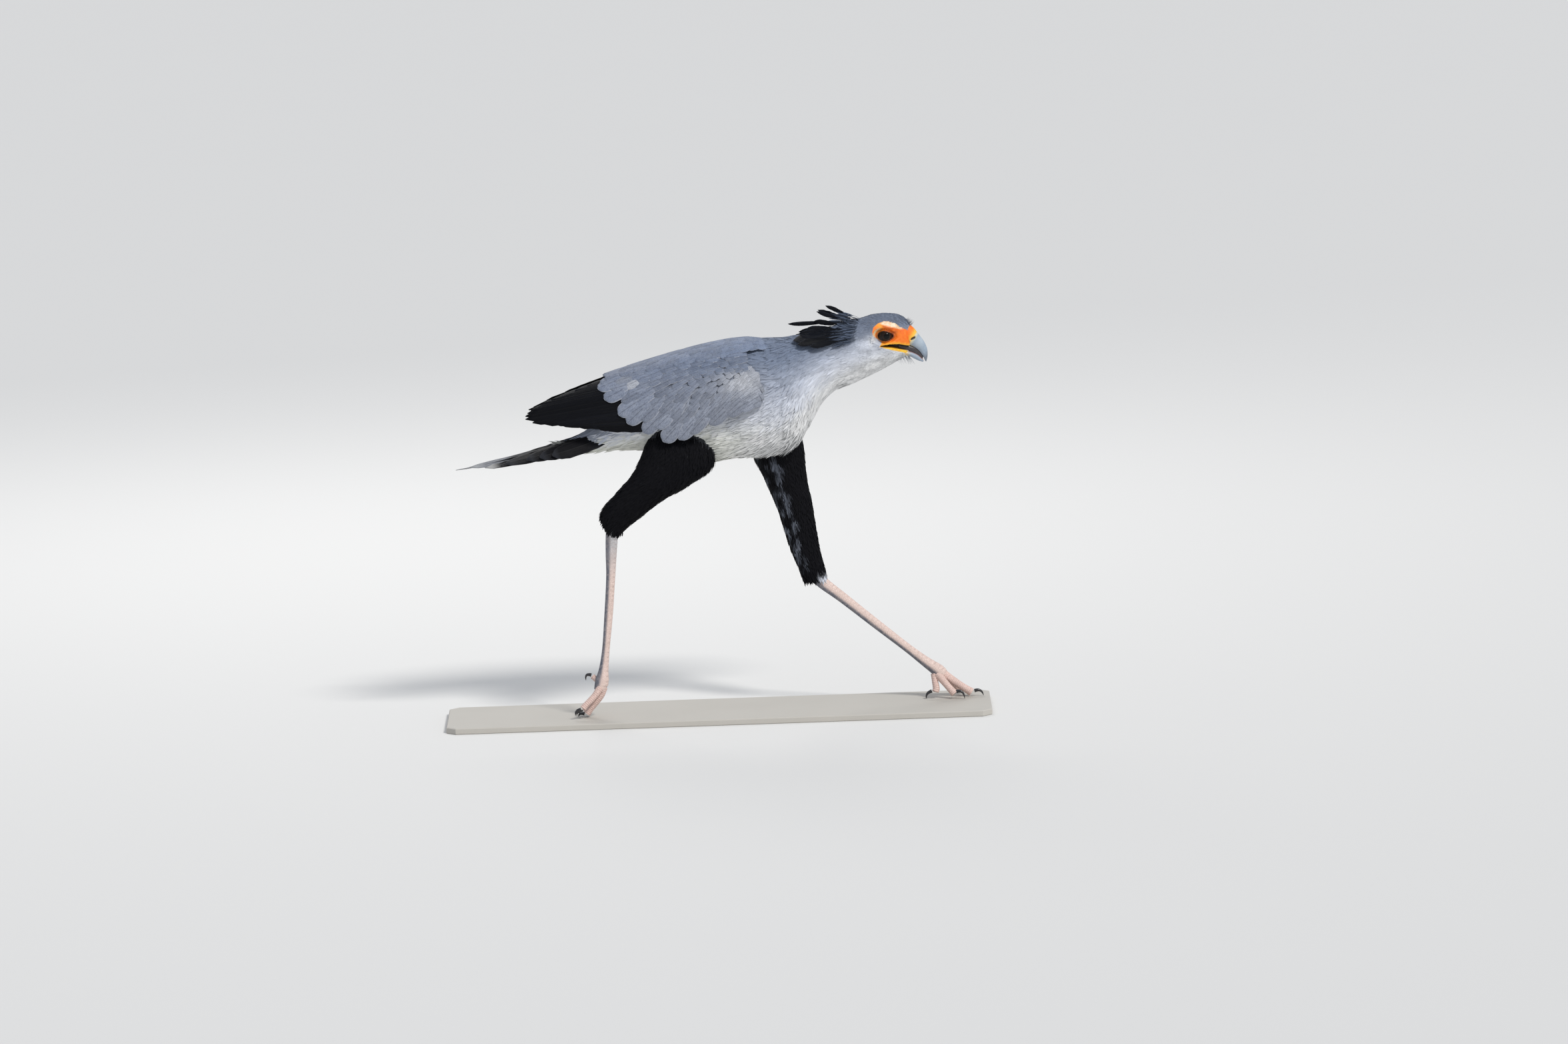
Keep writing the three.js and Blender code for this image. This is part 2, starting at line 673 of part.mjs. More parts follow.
// The rim of the eyelids, an oval roll round the eye.
function lids(side) {
  const { x, y, z, radius } = EYE;
  const rings = [];
  const count = 14;
  const points = [];
  const faces = [];
  const roll = 5;
  for (let i = 0; i < count; i++) {
    const turn = (2 * Math.PI * i) / count;
    const way = new THREE.Vector3(Math.cos(turn) * 11.6, 0, Math.sin(turn) * 8.8);
    const middle = way.clone().setY(Math.sqrt(Math.max(1, (radius + 0.6) ** 2 - way.lengthSq())));
    const out = way.clone().normalize();
    for (let j = 0; j < roll; j++) {
      const spin = (2 * Math.PI * j) / roll;
      const p = middle.clone().addScaledVector(out, Math.cos(spin) * 2.1);
      p.y += Math.sin(spin) * 2.1;
      points.push(new THREE.Vector3(x + p.x, side * (y + p.y), z + p.z));
    }
    rings.push(i * roll);
  }
  for (let i = 0; i < count; i++)
    for (let j = 0; j < roll; j++) {
      const a = rings[i] + j;
      const b = rings[i] + ((j + 1) % roll);
      const c = rings[(i + 1) % count] + ((j + 1) % roll);
      const d = rings[(i + 1) % count] + j;
      faces.push([a, b, c], [a, c, d]);
    }
  return closed(points, faces);
}

// The upper bill and its cere, with a slit of a nostril on each side.
function makeUpperBill() {
  const mouth = prism([...MOUTH_TOP, [427.4, 706], [426, 690], ...MOUTH_BOTTOM], -60, 60);
  const nostrils = [-1, 1].map((side) => ball([408.5, side * 14.5, 743.5], [6, 4.5, 1.7], 5, -32));
  const ahead = new THREE.Vector3(0.86, 0, 0.52).normalize();
  const seat = ahead.x * 384 + ahead.z * 752;
  const whole = sectioned(UPPER_BILL, 14, 14).subtract(union([...nostrils, mouth]));
  return largest(whole.trimByPlane(ahead.toArray(), seat));
}

function makeLowerBill() {
  return sectioned(LOWER_BILL, 10, 10);
}

function makeBase() {
  const { length, width, thickness, corner, bevel } = BASE;
  const x = length / 2 - bevel;
  const y = width / 2 - bevel;
  const outline = [
    [x, y - corner], [x - corner, y], [corner - x, y], [-x, y - corner],
    [-x, corner - y], [corner - x, -y], [x - corner, -y], [x, corner - y],
  ];
  const shape = new THREE.Shape(outline.map(([a, b]) => new THREE.Vector2(a, b)));
  const depth = thickness - 2 * bevel;
  const edges = { bevelThickness: bevel, bevelSize: bevel, bevelSegments: 1 };
  const g = new THREE.ExtrudeGeometry(shape, { depth, ...edges });
  g.translate(0, 0, bevel);
  return fromGeometry(g);
}

// A thigh in its trousers, less the body that it grows from and the tarsus that leaves it.
function makeThigh(rows, tarsus) {
  const body = sectioned(rows, 12, 14);
  return largest(body.subtract(trunkGrown).subtract(sectioned(tarsus, 16, 10, BILL_GAP)));
}

const group = new THREE.Group();

// Puts a solid into the part as a node of that name.
function add(name, solid, colour, roughness) {
  const mesh = solid.getMesh();
  const g = new THREE.BufferGeometry();
  const positions = new Float32Array(mesh.numVert * 3);
  for (let i = 0; i < mesh.numVert; i++)
    positions.set(mesh.vertProperties.subarray(i * mesh.numProp, i * mesh.numProp + 3), i * 3);
  g.setAttribute("position", new THREE.BufferAttribute(positions, 3));
  g.setIndex(new THREE.BufferAttribute(new Uint32Array(mesh.triVerts), 1));
  const made = new THREE.Mesh(g, new THREE.MeshStandardMaterial({ color: colour, roughness, metalness: 0 }));
  made.name = name;
  group.add(made);
}

add("torso", makeTorso(), COLOURS.plumage, 0.85);
add("neck", makeNeck(), COLOURS.pale, 0.85);
add("head", makeHead(), COLOURS.plumage, 0.8);
add("bill_upper", makeUpperBill(), COLOURS.horn, 0.35);
add("bill_lower", makeLowerBill(), COLOURS.horn, 0.35);
add("tail", makeTail(), COLOURS.tail, 0.7);
for (const [name, side] of [["right", -1], ["left", 1]]) {
  add(`eye_${name}`, eyeball(side, 0), COLOURS.eye, 0.1);
  add(`wing_${name}`, makeWing(side), COLOURS.plumage, 0.7);
}
for (const [name, thigh, tarsus, foot] of [
  ["right", NEAR_THIGH, NEAR_TARSUS, NEAR_FOOT],
  ["left", FAR_THIGH, FAR_TARSUS, FAR_FOOT],
]) {
  const ankle = ANKLES[name];
  add(`thigh_${name}`, makeThigh(thigh, tarsus), COLOURS.black, 0.95);
  add(`tarsus_${name}`, sectioned(tarsus, 16, 10).trimByPlane([0, 0, 1], ankle + GAP), COLOURS.leg, 0.6);
  add(`foot_${name}`, makeFoot(foot, tarsus, ankle), COLOURS.leg, 0.6);
  for (const [digit, { claw }] of Object.entries(foot))
    add(`claw_${name}_${digit}`, makeClaw(claw, CLAW_RADIUS).trimByPlane([0, 0, 1], SOLE), COLOURS.claw, 0.3);
}
add("stand_base", makeBase(), COLOURS.base, 0.7);

export default group;
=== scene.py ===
"""A life-size secretary bird in a long stride on a flat display base, dressed in feathers.

Sizes and places are named in millimetres, and MM turns them into Blender's metres. +X points towards the bill,
+Y to the bird's left, +Z up.
"""
import json
import math

import bmesh
import bpy
import numpy as np
from mathutils import Euler, Matrix, Vector, noise

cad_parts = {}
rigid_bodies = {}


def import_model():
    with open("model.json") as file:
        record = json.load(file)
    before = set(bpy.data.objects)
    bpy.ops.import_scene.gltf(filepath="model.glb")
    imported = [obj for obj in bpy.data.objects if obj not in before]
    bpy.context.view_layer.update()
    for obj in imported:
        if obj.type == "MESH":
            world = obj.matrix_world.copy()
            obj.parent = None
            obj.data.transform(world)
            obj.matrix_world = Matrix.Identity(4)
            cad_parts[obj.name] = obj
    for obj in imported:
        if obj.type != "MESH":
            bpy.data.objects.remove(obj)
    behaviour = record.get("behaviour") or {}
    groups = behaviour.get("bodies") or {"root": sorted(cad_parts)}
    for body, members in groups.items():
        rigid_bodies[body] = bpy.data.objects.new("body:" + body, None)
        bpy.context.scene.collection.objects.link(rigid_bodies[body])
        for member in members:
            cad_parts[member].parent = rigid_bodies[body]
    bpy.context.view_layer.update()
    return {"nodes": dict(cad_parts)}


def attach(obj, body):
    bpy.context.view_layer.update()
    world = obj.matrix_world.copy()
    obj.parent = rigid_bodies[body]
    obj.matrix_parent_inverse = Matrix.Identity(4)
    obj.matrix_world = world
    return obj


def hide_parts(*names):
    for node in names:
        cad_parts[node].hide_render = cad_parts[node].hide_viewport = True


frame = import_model()
MM = 0.001
PATCH = 0.003  # across a feather's patch on the unwrap
TARSUS_SCUTE = 9.5  # length of one scute
TOE_SCUTE = 3.6
BILL_EDGE = [(422, 715), (427.4, 706), (433, 694)]  # the upper bill's edge before the mouth
FLOOR_SIZE = 160.0  # metres
SKY = (0.86, 0.91, 1.0)
# Lights: name, kind, place, size, power, colour
LIGHTS = [
    ("key", "SUN", (1.7, -2.2, 3.4), 0.22, 2.35, (1.0, 0.97, 0.93)),
    ("rim", "AREA", (-0.8, 3.0, 3.0), 2.0, 40, (1.0, 0.98, 0.95)),
]
COAT_SLOTS = {"coat_neck_lower": "throat", "coat_near_thigh": "thigh", "coat_far_thigh": "thigh"}
TAU = 2 * math.pi

# Camera
VIEW_MIDDLE = (141.5, 383.8)
VIEW_WIDTH = 3.1073
ELEVATION = 9.0
ROLL = 2.0
LENS = 200.0
SENSOR = 36.0

# Sections of the trunk, tail to forehead: top x and z, bottom x and z, middle y, half width
TRUNK = [
    (-288, 556, -290, 549, 0, 5),
    (-262, 572, -266, 544, 0, 18),
    (-225, 598, -228, 539, 0, 33),
    (-180, 634, -184, 540, 0, 50),
    (-125, 676, -128, 536, 0, 66),
    (-60, 716, -60, 524, 0, 78),
    (5, 738, 8, 513, 0, 84),
    (70, 751, 72, 518, 0, 84),
    (118, 755, 128, 524, 0, 79),
    (160, 756, 176, 544, 0, 71),
    (190, 759, 203, 583, 0, 62),
    (222, 763, 229, 622, 0, 53),
    (250, 772, 256, 644, 0, 47),
    (280, 783, 285, 654, 0, 43),
    (309, 788, 316, 668, 0, 39),
    (334, 794, 340, 679, 0, 33.5),
    (360, 795, 360, 689, 0, 29.5),
    (382, 791, 377, 698, 0, 25.5),
    (398, 780, 391, 705, 0, 20),
    (407, 764, 398, 711, 0, 12),
]
COAT_DEPTH = 3.0  # the skin lies this far inside the solids
FACE_DEPTH = 1.2  # and this far on the head
AXIS_STEPS = 120
# Where the coat's colour turns from belly to back: x and z of the line, and how far from it the back begins
SPINE = [
    (-290, 553), (-180, 588), (-60, 620), (70, 636), (160, 652), (222, 694), (280, 719), (334, 737), (400, 745),
]
SPINE_REACH = [(-290, 6), (-180, 46), (70, 116), (160, 104), (222, 70), (280, 64), (400, 46)]
HEAD_ROW = 12.5  # from this row of the trunk on, its rings are close
NEAR_THIGH = [
    (12, 575, -112, 606, -44, 30),
    (8, 512, -124, 566, -50, 37),
    (-40, 474, -150, 506, -53, 34),
    (-92, 446, -184, 466, -52, 28),
    (-138, 413, -209, 440, -50, 23.5),
    (-168, 390, -219, 420, -49, 19),
    (-180, 381, -215, 398, -49, 14),
]
FAR_THIGH = [
    (178, 578, 84, 575, 42, 30),
    (186, 528, 84, 516, 49, 36),
    (191, 462, 101, 473, 52, 34),
    (197, 425, 117, 434, 52, 31),
    (203, 384, 132, 391, 51, 28),
    (211, 325, 148, 333, 50, 24),
    (219, 286, 163, 291, 49, 20),
    (223, 264, 173, 262, 48, 15),
]
NEAR_TARSUS = [
    (-184, 404, -206, 410, -49, 8.5),
    (-187, 378, -211, 384, -49, 8.2),
    (-191, 340, -213, 342, -49, 7.4),
    (-196, 290, -214, 291, -48, 6.6),
    (-203, 220, -220, 221, -47, 6.4),
    (-212, 150, -227, 151, -46, 6.6),
    (-216, 108, -235, 110, -45, 8.4),
    (-217, 80, -243, 88, -45, 12),
    (-226, 62, -246, 70, -45, 12),
]
FAR_TARSUS = [
    (214, 276, 194, 262, 49, 8.5),
    (224, 259, 203, 245, 49, 8.2),
    (264, 224, 247, 211, 48.5, 7.2),
    (325, 171, 311, 158, 47.5, 6.5),
    (384, 121, 371, 109, 46, 6.8),
    (418, 95, 404, 80, 45, 9),
    (446, 77, 424, 62, 45, 13),
    (456, 66, 438, 48, 45, 12),
]
UPPER_BILL = [
    (387, 783, 360, 734, 0, 21),
    (398, 774, 376, 734.5, 0, 18.5),
    (411, 763, 390, 732, 0, 15),
    (421, 749, 403, 728, 0, 11.5),
    (430, 736, 413, 723, 0, 8.8),
    (436, 721, 421, 715.5, 0, 6.2),
    (436.5, 706, 427.5, 706, 0, 4),
    (433.5, 695, 430.5, 697, 0, 1.6),
]
LOWER_BILL = [
    (349, 729.5, 346, 724, 0, 19),
    (367, 727.5, 362, 716, 0, 16.5),
    (386, 722, 382, 711.5, 0, 13),
    (404, 716.8, 400, 707, 0, 9.5),
    (416, 711, 410, 701.5, 0, 7),
    (424, 703.5, 419, 697, 0, 4.6),
    (428.6, 697, 427, 694.6, 0, 1.8),
]
# Forms of the head's side: place in x and z, reach in x and z, height
BROW = ((352, 767.5), (21, 4.2), 3.2)
CHEEK = ((352, 737.5), (16, 4.5), 1.6)
LORE = ((376, 757), (8, 9), -2.0)
BROW_SLOPE = 0.12
BROW_LINE = [(335, 778), (350, 772.5), (371, 766), (392, 760)]  # the whitish skin lies above it
MIDDLE_STRIP = 6.0  # the head keeps its plain form this near its middle
EYE = Vector((354.5, 18.5, 752.0))
EYE_RADIUS = 14.0
# Half width and height of the opening between the lids, and its turn in degrees
LID_OPENING = (14.2, 8.8, -4.0)
# The bare skin of the face from the side, x and z
FACE = [
    (328.5, 761.5), (331, 770), (340, 777), (351, 781), (364, 780.5), (375, 776), (386, 768.5), (393, 764),
    (401, 759.5), (420, 762), (425, 735), (425, 706), (404, 711.5), (386, 717), (367, 723), (350, 728.5),
    (341.5, 731), (346.5, 739.5), (335.5, 748), (329.5, 754),
]
MOUTH_TOP = [(343.5, 732.2), (362, 734.4), (381, 733.8), (399, 729.2), (413, 723.3)]
MOUTH_BOTTOM = [(343.5, 731.2), (367, 727.9), (386, 722.6), (404, 717.3), (416, 711.6)]
# Sections of the tongue and palate that fill the open mouth between the bills, near black as painted shade
MOUTH_LINING = [
    (380, 735.5, 378, 721, 0, 8),
    (399, 731, 397, 716, 0, 6.5),
    (413, 725.5, 409, 710, 0, 5),
    (423, 716, 418, 704, 0, 3.0),
    (428, 705, 426, 700, 0, 1),
]

# The wings' outer surface, a cloak round the trunk: x, top z, bottom z, half width
CLOAK = [
    (-400, 622, 580, 12),
    (-342, 641, 560, 31),
    (-298, 660, 540, 44),
    (-206, 689, 512, 68),
    (-127, 713, 492, 87),
    (-70, 728, 482, 97),
    (0, 744, 490, 103),
    (60, 753, 520, 101),
    (100, 753, 556, 91),
    (135, 745, 592, 70),
]
# Tips of the outermost coverts, x and z, from the back round the rump and the lower edge to the wing's bend
COVERT_EDGE = [
    (20, 741), (-60, 727), (-130, 708), (-190, 688), (-216, 670), (-197, 642), (-167, 612), (-130, 586),
    (-78, 566), (-36, 582), (14, 605), (54, 621), (88, 637), (103, 662),
]
# The way the coverts lie along that edge, in degrees below straight back
COVERT_LEAN = [9, 11, 14, 17, 20, 27, 36, 43, 48, 47, 41, 34, 28, 20]
SHOULDER = (78, 700)
WING_FRONT = 104  # no covert reaches farther forward
WORN_COVERT = (-172, 674)
# Each row of coverts: reach from the shoulder, how many feathers, length and width
COVERT_ROWS = [
    (1.0, 19, 66, 34),
    (0.91, 20, 56, 28),
    (0.825, 20, 50, 25),
    (0.745, 20, 44, 23),
    (0.67, 20, 40, 21),
    (0.60, 19, 36, 19.5),
    (0.535, 19, 33, 18),
    (0.475, 18, 30, 16.5),
    (0.415, 17, 27, 15),
    (0.36, 16, 24, 14),
    (0.305, 15, 22, 13),
    (0.255, 14, 20, 12),
    (0.205, 12, 18, 11),
    (0.155, 10, 17, 10.5),
    (0.105, 8, 16, 10),
    (0.055, 6, 15, 9.5),
    (0.01, 4, 14, 9),
]
# Flight feathers: tip x and z, root x and z, width, lowest to topmost
FLIGHT = [
    (-211, 597, -84, 600, 31),
    (-244, 599, -92, 608, 31),
    (-273, 601, -100, 618, 31),
    (-301, 603, -106, 630, 30),
    (-331, 601, -112, 642, 29),
    (-366, 611, -120, 655, 27),
    (-356, 622, -125, 668, 29),
    (-341, 633, -130, 680, 30),
    (-318, 643, -130, 690, 28),
    (-280, 657, -128, 699, 26),
    (-236, 673, -120, 707, 25),
]
FLIGHT_COUNT = 19

# A feather's blade: how wide it is along its length, and the rows and columns of points that draw it
ROUND_BLADE = [
    (0, 0.45), (0.2, 0.72), (0.45, 0.96), (0.65, 1), (0.8, 0.92), (0.9, 0.74), (0.96, 0.52), (1, 0.14),
]
LONG_BLADE = [
    (0, 0.6), (0.2, 0.85), (0.45, 1), (0.7, 0.97), (0.84, 0.84), (0.93, 0.6), (0.98, 0.34), (1, 0.08),
]
BLADE_STEPS = 15
BLADE_PLACES = np.linspace(0, 1, BLADE_STEPS) ** 0.9
LANES = np.linspace(-1, 1, 7)
# Rows of mantle feathers lie with their tips from here to there
MANTLE_REAR = -204.0
MANTLE_FRONT = 122.0

# Crest feathers of one side: root x and z, tip x and z, half width of the blade, how far it stands off
CREST_BLADE = [
    (0, 0.12), (0.3, 0.10), (0.42, 0.26), (0.56, 0.72), (0.72, 1), (0.86, 0.9), (0.95, 0.55), (1, 0.08),
]
NAPE_PLUMES = 46
CREST = [
    (302, 783, 239, 814, 3.6, 4),
    (298, 780, 220, 803, 4.2, 4),
    (295, 784, 165, 779, 3.8, 5),
    (288, 773, 214, 784, 5, 6),
    (286, 769, 199, 768, 6.5, 8),
    (285, 765, 184, 761, 7, 10),
    (286, 760, 172, 751, 7.5, 11),
    (287, 755, 180, 744, 7, 12),
    (290, 751, 205, 740, 6.5, 11),
]
# The tail: its root, its slope in degrees, how far it sags, and each feather's width and length, middle
# pair first
TAIL_ROOT = (-214, 0, 583)
TAIL_SLOPE = 15.2
TAIL_SAG = 9.0
TAIL_WIDTH = 36.0
TAIL_LENGTHS = [301, 246, 204, 168, 140, 118]

# Toes: x, y, z and radius along each. Claws: the toe's end, the point, and how far the claw bows out
NEAR_FOOT = {
    "digit3": ([(-228, -45, 72, 9), (-233, -45, 57, 7.5), (-243, -44, 44, 7.4), (-254, -43, 31, 7),
                (-262, -42, 20.5, 7.8)],
               [(-267, -42, 19.5), (-279, -41, 13.5), (-3, 3)]),
    "digit4": ([(-234, -51, 72, 8), (-243, -57, 60, 6.6), (-253, -61, 50, 6.4), (-263, -64, 41, 6.2),
                (-269, -66, 34.5, 6.6)],
               [(-273, -67, 33), (-284, -69, 21), (-4, 2)]),
    "digit2": ([(-234, -38, 70, 8), (-241, -32, 56, 6.6), (-250, -28, 43, 6.6), (-259, -26, 31, 6.4),
                (-266, -25, 22, 7)],
               [(-271, -25, 21), (-283, -24, 13.5), (-3, 3)]),
    "digit1": ([(-236, -40, 84, 7), (-243, -35, 88, 5.6), (-248, -32, 92, 5.6)],
               [(-251, -31, 95), (-262, -29, 84), (-4, 5)]),
}
FAR_FOOT = {
    "digit3": ([(440, 45, 66, 10), (458, 45, 52, 8.6), (474, 45, 40, 8), (490, 45, 29, 7.6),
                (503, 45, 20.5, 8.6)],
               [(509, 45, 23), (527, 45, 12.8), (3, 5)]),
    "digit2": ([(437, 40, 60, 9), (448, 32, 47, 7.4), (459, 25, 34, 7), (469, 21, 22.5, 8)],
               [(473, 20, 27), (489, 15, 12.8), (3, 6)]),
    "digit4": ([(439, 52, 60, 9), (455, 60, 45, 7), (470, 67, 32, 6.6), (483, 72, 21, 7.4)],
               [(488, 74, 24), (503, 78, 12.8), (3, 5)]),
    "digit1": ([(431, 42, 60, 8), (431, 37, 47, 6.4), (433, 33, 33, 7), (431, 31, 26, 7)],
               [(424, 30, 28), (413, 28, 12.8), (-4, 2)]),
}
CLAW_RADIUS = 3.4
SOLE = 12.3  # the level that the soles rest at

# Colours, linear
SLATE = np.array((0.150, 0.190, 0.275))
ASH = np.array((0.36, 0.40, 0.49))
PEARL = np.array((0.60, 0.63, 0.70))
WHITE = np.array((0.84, 0.84, 0.82))
CREAM = np.array((0.78, 0.79, 0.72))
BLACK = np.array((0.0045, 0.0045, 0.006))
FACE_ORANGE = np.array((0.92, 0.20, 0.010))
CROWN = np.array((0.125, 0.155, 0.22))
AMBER = np.array((0.94, 0.40, 0.02))
YELLOW = np.array((0.93, 0.60, 0.06))
LID_BLACK = np.array((0.012, 0.007, 0.005))
# near black: painted shade inside the open mouth
MOUTH_SHADE = np.array((0.012, 0.006, 0.005))
# painted shade for the creases over the brow and round the lids
CREASE_SHADE = np.array((0.10, 0.03, 0.01))
HORN = np.array((0.27, 0.345, 0.43))
QUILL = (0.012, 0.012, 0.012)
# Patches of the head's coat: colour, place in x and z, reach in x and z, strength
HEAD_PATCHES = [
    (PEARL, (322, 742), (17, 17), 0.7),
    (CROWN, (312, 758), (10, 9), 0.7),
    (CROWN * 0.8, (326, 768), (9, 12), 0.75),
    (WHITE, (331, 746), (5, 9), 0.6),
]


def spline(rows, s):
    """Catmull-Rom values of a table's rows at the numbers s, one row of results for each."""
    rows = np.asarray(rows, float)
    s = np.atleast_1d(np.asarray(s, float))
    last = len(rows) - 1
    i = np.clip(np.floor(s).astype(int), 0, last - 1)
    t = (s - i)[:, None]
    a, b = rows[np.maximum(i - 1, 0)], rows[i]
    d, e = rows[i + 1], rows[np.minimum(i + 2, last)]
    return 0.5 * (2 * b + (d - a) * t + (2 * a - 5 * b + 4 * d - e) * t**2 + (3 * b - a - 3 * d + e) * t**3)


def smooth(low, high, x):
    """0 below low, 1 above high, and an even curve between."""
    t = np.clip((x - low) / (high - low), 0, 1)
    return t * t * (3 - 2 * t)


def blend(a, b, share):
    """Colour rows between a and b."""
    share = np.asarray(share)[..., None]
    return np.asarray(a) * (1 - share) + np.asarray(b) * share


def near_line(x, at, reach):
    """1 at a line and less and less away from it."""
    return np.exp(-(((x - at) / reach) ** 2))


def near_spot(x, z, at, reach):
    """1 at a spot in the side view and less and less away from it, by its reach in x and in z."""
    return np.exp(-(((x - at[0]) / reach[0]) ** 2 + ((z - at[1]) / reach[1]) ** 2))


def rows_of(table, count):
    """Evenly spaced numbers of a table's rows for its spline."""
    return np.linspace(0, len(table) - 1, count)


def either_way(draw, reach=1.0):
    """A random number from -reach to reach."""
    return reach * draw.uniform(-1, 1)


def capped(values):
    """Values of a loft's rings, and of the two points that close it."""
    return np.concatenate([values, values[:1], values[-1:]])


def inside_distance(points, outline):
    """Distance from each x, z point to a closed outline, positive inside."""
    poly = np.asarray(outline, float)
    after = np.roll(poly, -1, axis=0)
    best = np.full(len(points), 1e9)
    crossings = np.zeros(len(points), int)
    for a, b in zip(poly, after):
        way = b - a
        t = np.clip(((points - a) @ way) / (way @ way), 0, 1)
        best = np.minimum(best, np.linalg.norm(points - (a + t[:, None] * way), axis=1))
        spans = (a[1] > points[:, 1]) != (b[1] > points[:, 1])
        if b[1] != a[1]:
            at = a[0] + (points[:, 1] - a[1]) / (b[1] - a[1]) * way[0]
            crossings += spans & (points[:, 0] < at)
    return np.where(crossings % 2 == 1, best, -best)


def place(name, mesh):
    """An object of a mesh, in the scene."""
    made = bpy.data.objects.new(name, mesh)
    bpy.context.scene.collection.objects.link(made)
    return made


def place_built(name, bm):
    """An object of a bmesh, its faces turned outward."""
    bmesh.ops.recalc_face_normals(bm, faces=bm.faces)
    mesh = bpy.data.meshes.new(name)
    bm.to_mesh(mesh)
    bm.free()
    return place(name, mesh)


def new_object(name, points, faces):
    """A mesh object from points in millimetres and faces of four."""
    mesh = bpy.data.meshes.new(name)
    points = np.asarray(points, float) * MM
    faces = np.asarray(faces, np.int32)
    mesh.vertices.add(len(points))
    mesh.vertices.foreach_set("co", points.ravel())
    mesh.loops.add(faces.size)
    mesh.loops.foreach_set("vertex_index", faces.ravel())
    mesh.polygons.add(len(faces))
    mesh.polygons.foreach_set("loop_start", np.arange(0, faces.size, 4, dtype=np.int32))
    mesh.polygons.foreach_set("use_smooth", np.ones(len(faces), bool))
    mesh.update(calc_edges=True)
    mesh.validate()
    return place(name, mesh)


def joined(parts, name):
    """Several objects made into one."""
    bpy.ops.object.select_all(action="DESELECT")
    for part in parts:
        part.select_set(True)
    bpy.context.view_layer.objects.active = parts[0]
    bpy.ops.object.join()
    parts[0].name = name
    return parts[0]


def read_points(made):
    """An object's points in millimetres."""
    p = np.empty(len(made.data.vertices) * 3)
    made.data.vertices.foreach_get("co", p)
    return p.reshape(-1, 3) / MM


def read_numbers(made, name):
    """The number that an object stores for each vertex under a name."""
    values = np.empty(len(made.data.vertices))
    made.data.attributes[name].data.foreach_get("value", values)
    return values


def set_values(made, name, values):
    """Stores a value for each vertex: a number, a direction or a colour."""
    values = np.asarray(values, float)
    if values.ndim == 1:
        made.data.attributes.new(name, "FLOAT", "POINT").data.foreach_set("value", values)
    elif name == "lie":
        made.data.attributes.new(name, "FLOAT_VECTOR", "POINT").data.foreach_set("vector", values.ravel())
    else:
        colours = np.hstack([np.clip(values, 0, 1), np.ones((len(values), 1))])
        made.data.attributes.new(name, "FLOAT_COLOR", "POINT").data.foreach_set("color", colours.ravel())


def ring_points(rows, s, sides, shrink=0.0):
    """Rings of a loft through sections that stand across the X-Z plane, drawn in by shrink."""
    at = spline(rows, s)
    ax, az, bx, bz, y, w = at.T
    h = np.hypot(ax - bx, az - bz) / 2
    turn = TAU * np.arange(sides) / sides
    along = (np.maximum(h - shrink, 0.3) / h)[:, None] * np.cos(turn)[None]
    wide = np.maximum(w - shrink, 0.3)[:, None] * np.sin(turn)[None]
    x = ((ax + bx) / 2)[:, None] + ((ax - bx) / 2)[:, None] * along
    z = ((az + bz) / 2)[:, None] + ((az - bz) / 2)[:, None] * along
    return np.stack([x, y[:, None] + wide, z], axis=2)


def loft_faces(rings, sides, first=0):
    """Quads round a stack of rings, whose points are numbered from first on."""
    quads = []
    for i in range(rings - 1):
        a = first + i * sides + np.arange(sides)
        b = first + i * sides + (np.arange(sides) + 1) % sides
        quads.append(np.stack([a, b, b + sides, a + sides], axis=1))
    return np.concatenate(quads)


def lofted(name, rings, uv_box=None):
    """An object from rings of points, closed at both ends by a point, with a UV map along and round it."""
    count, sides, _ = rings.shape
    points = np.concatenate([rings.reshape(-1, 3), rings[:1].mean(axis=1), rings[-1:].mean(axis=1)])
    quads = loft_faces(count, sides)
    j = np.arange(sides)
    k = (j + 1) % sides
    last = (count - 1) * sides
    first_cap = np.stack([np.full(sides, count * sides), k, j], axis=1)
    last_cap = np.stack([np.full(sides, count * sides + 1), last + j, last + k], axis=1)
    bm = bmesh.new()
    verts = [bm.verts.new(Vector(p) * MM) for p in points]
    uv = bm.loops.layers.uv.new("OFBake")
    left, low, wide, high = uv_box or (0, 0, 1, 1)
    for quad in quads:
        face = bm.faces.new([verts[v] for v in quad])
        for loop, v in zip(face.loops, quad):
            i, turn = divmod(int(v), sides)
            if turn == 0 and v in (quad[1], quad[2]):
                turn = sides
            loop[uv].uv = (left + wide * turn / sides, low + high * i / (count - 1))
        face.smooth = True
    for cap, v_at in ((first_cap, 0.0), (last_cap, 1.0)):
        for tri in cap:
            face = bm.faces.new([verts[v] for v in tri])
            for loop in face.loops:
                loop[uv].uv = (left + wide / 2, low + high * v_at)
            face.smooth = True
    return place_built(name, bm)


class Nodes:
    """Makes the nodes of a tree, each by one call with its type, settings and inputs."""

    def __init__(self, tree):
        self.nodes = tree.nodes
        self.links = tree.links

    def node(self, kind, settings=None, **inputs):
        """An input is named with underscores for spaces, or by its number after the letter i."""
        made = self.nodes.new(kind)
        for key, value in (settings or {}).items():
            setattr(made, key, value)
        for key, value in inputs.items():
            numbered = key[0] == "i" and key[1:].isdigit()
            self.feed(made.inputs[int(key[1:]) if numbered else key.replace("_", " ")], value)
        return made

    def feed(self, socket, value):
        if isinstance(value, Value):
            value = value.socket
        if isinstance(value, bpy.types.NodeSocket):
            self.links.new(value, socket)
        else:
            socket.default_value = value


def rgba(colour):
    """A colour for a socket: left alone where another socket gives it."""
    return colour if isinstance(colour, (Value, bpy.types.NodeSocket)) else (*colour, 1)


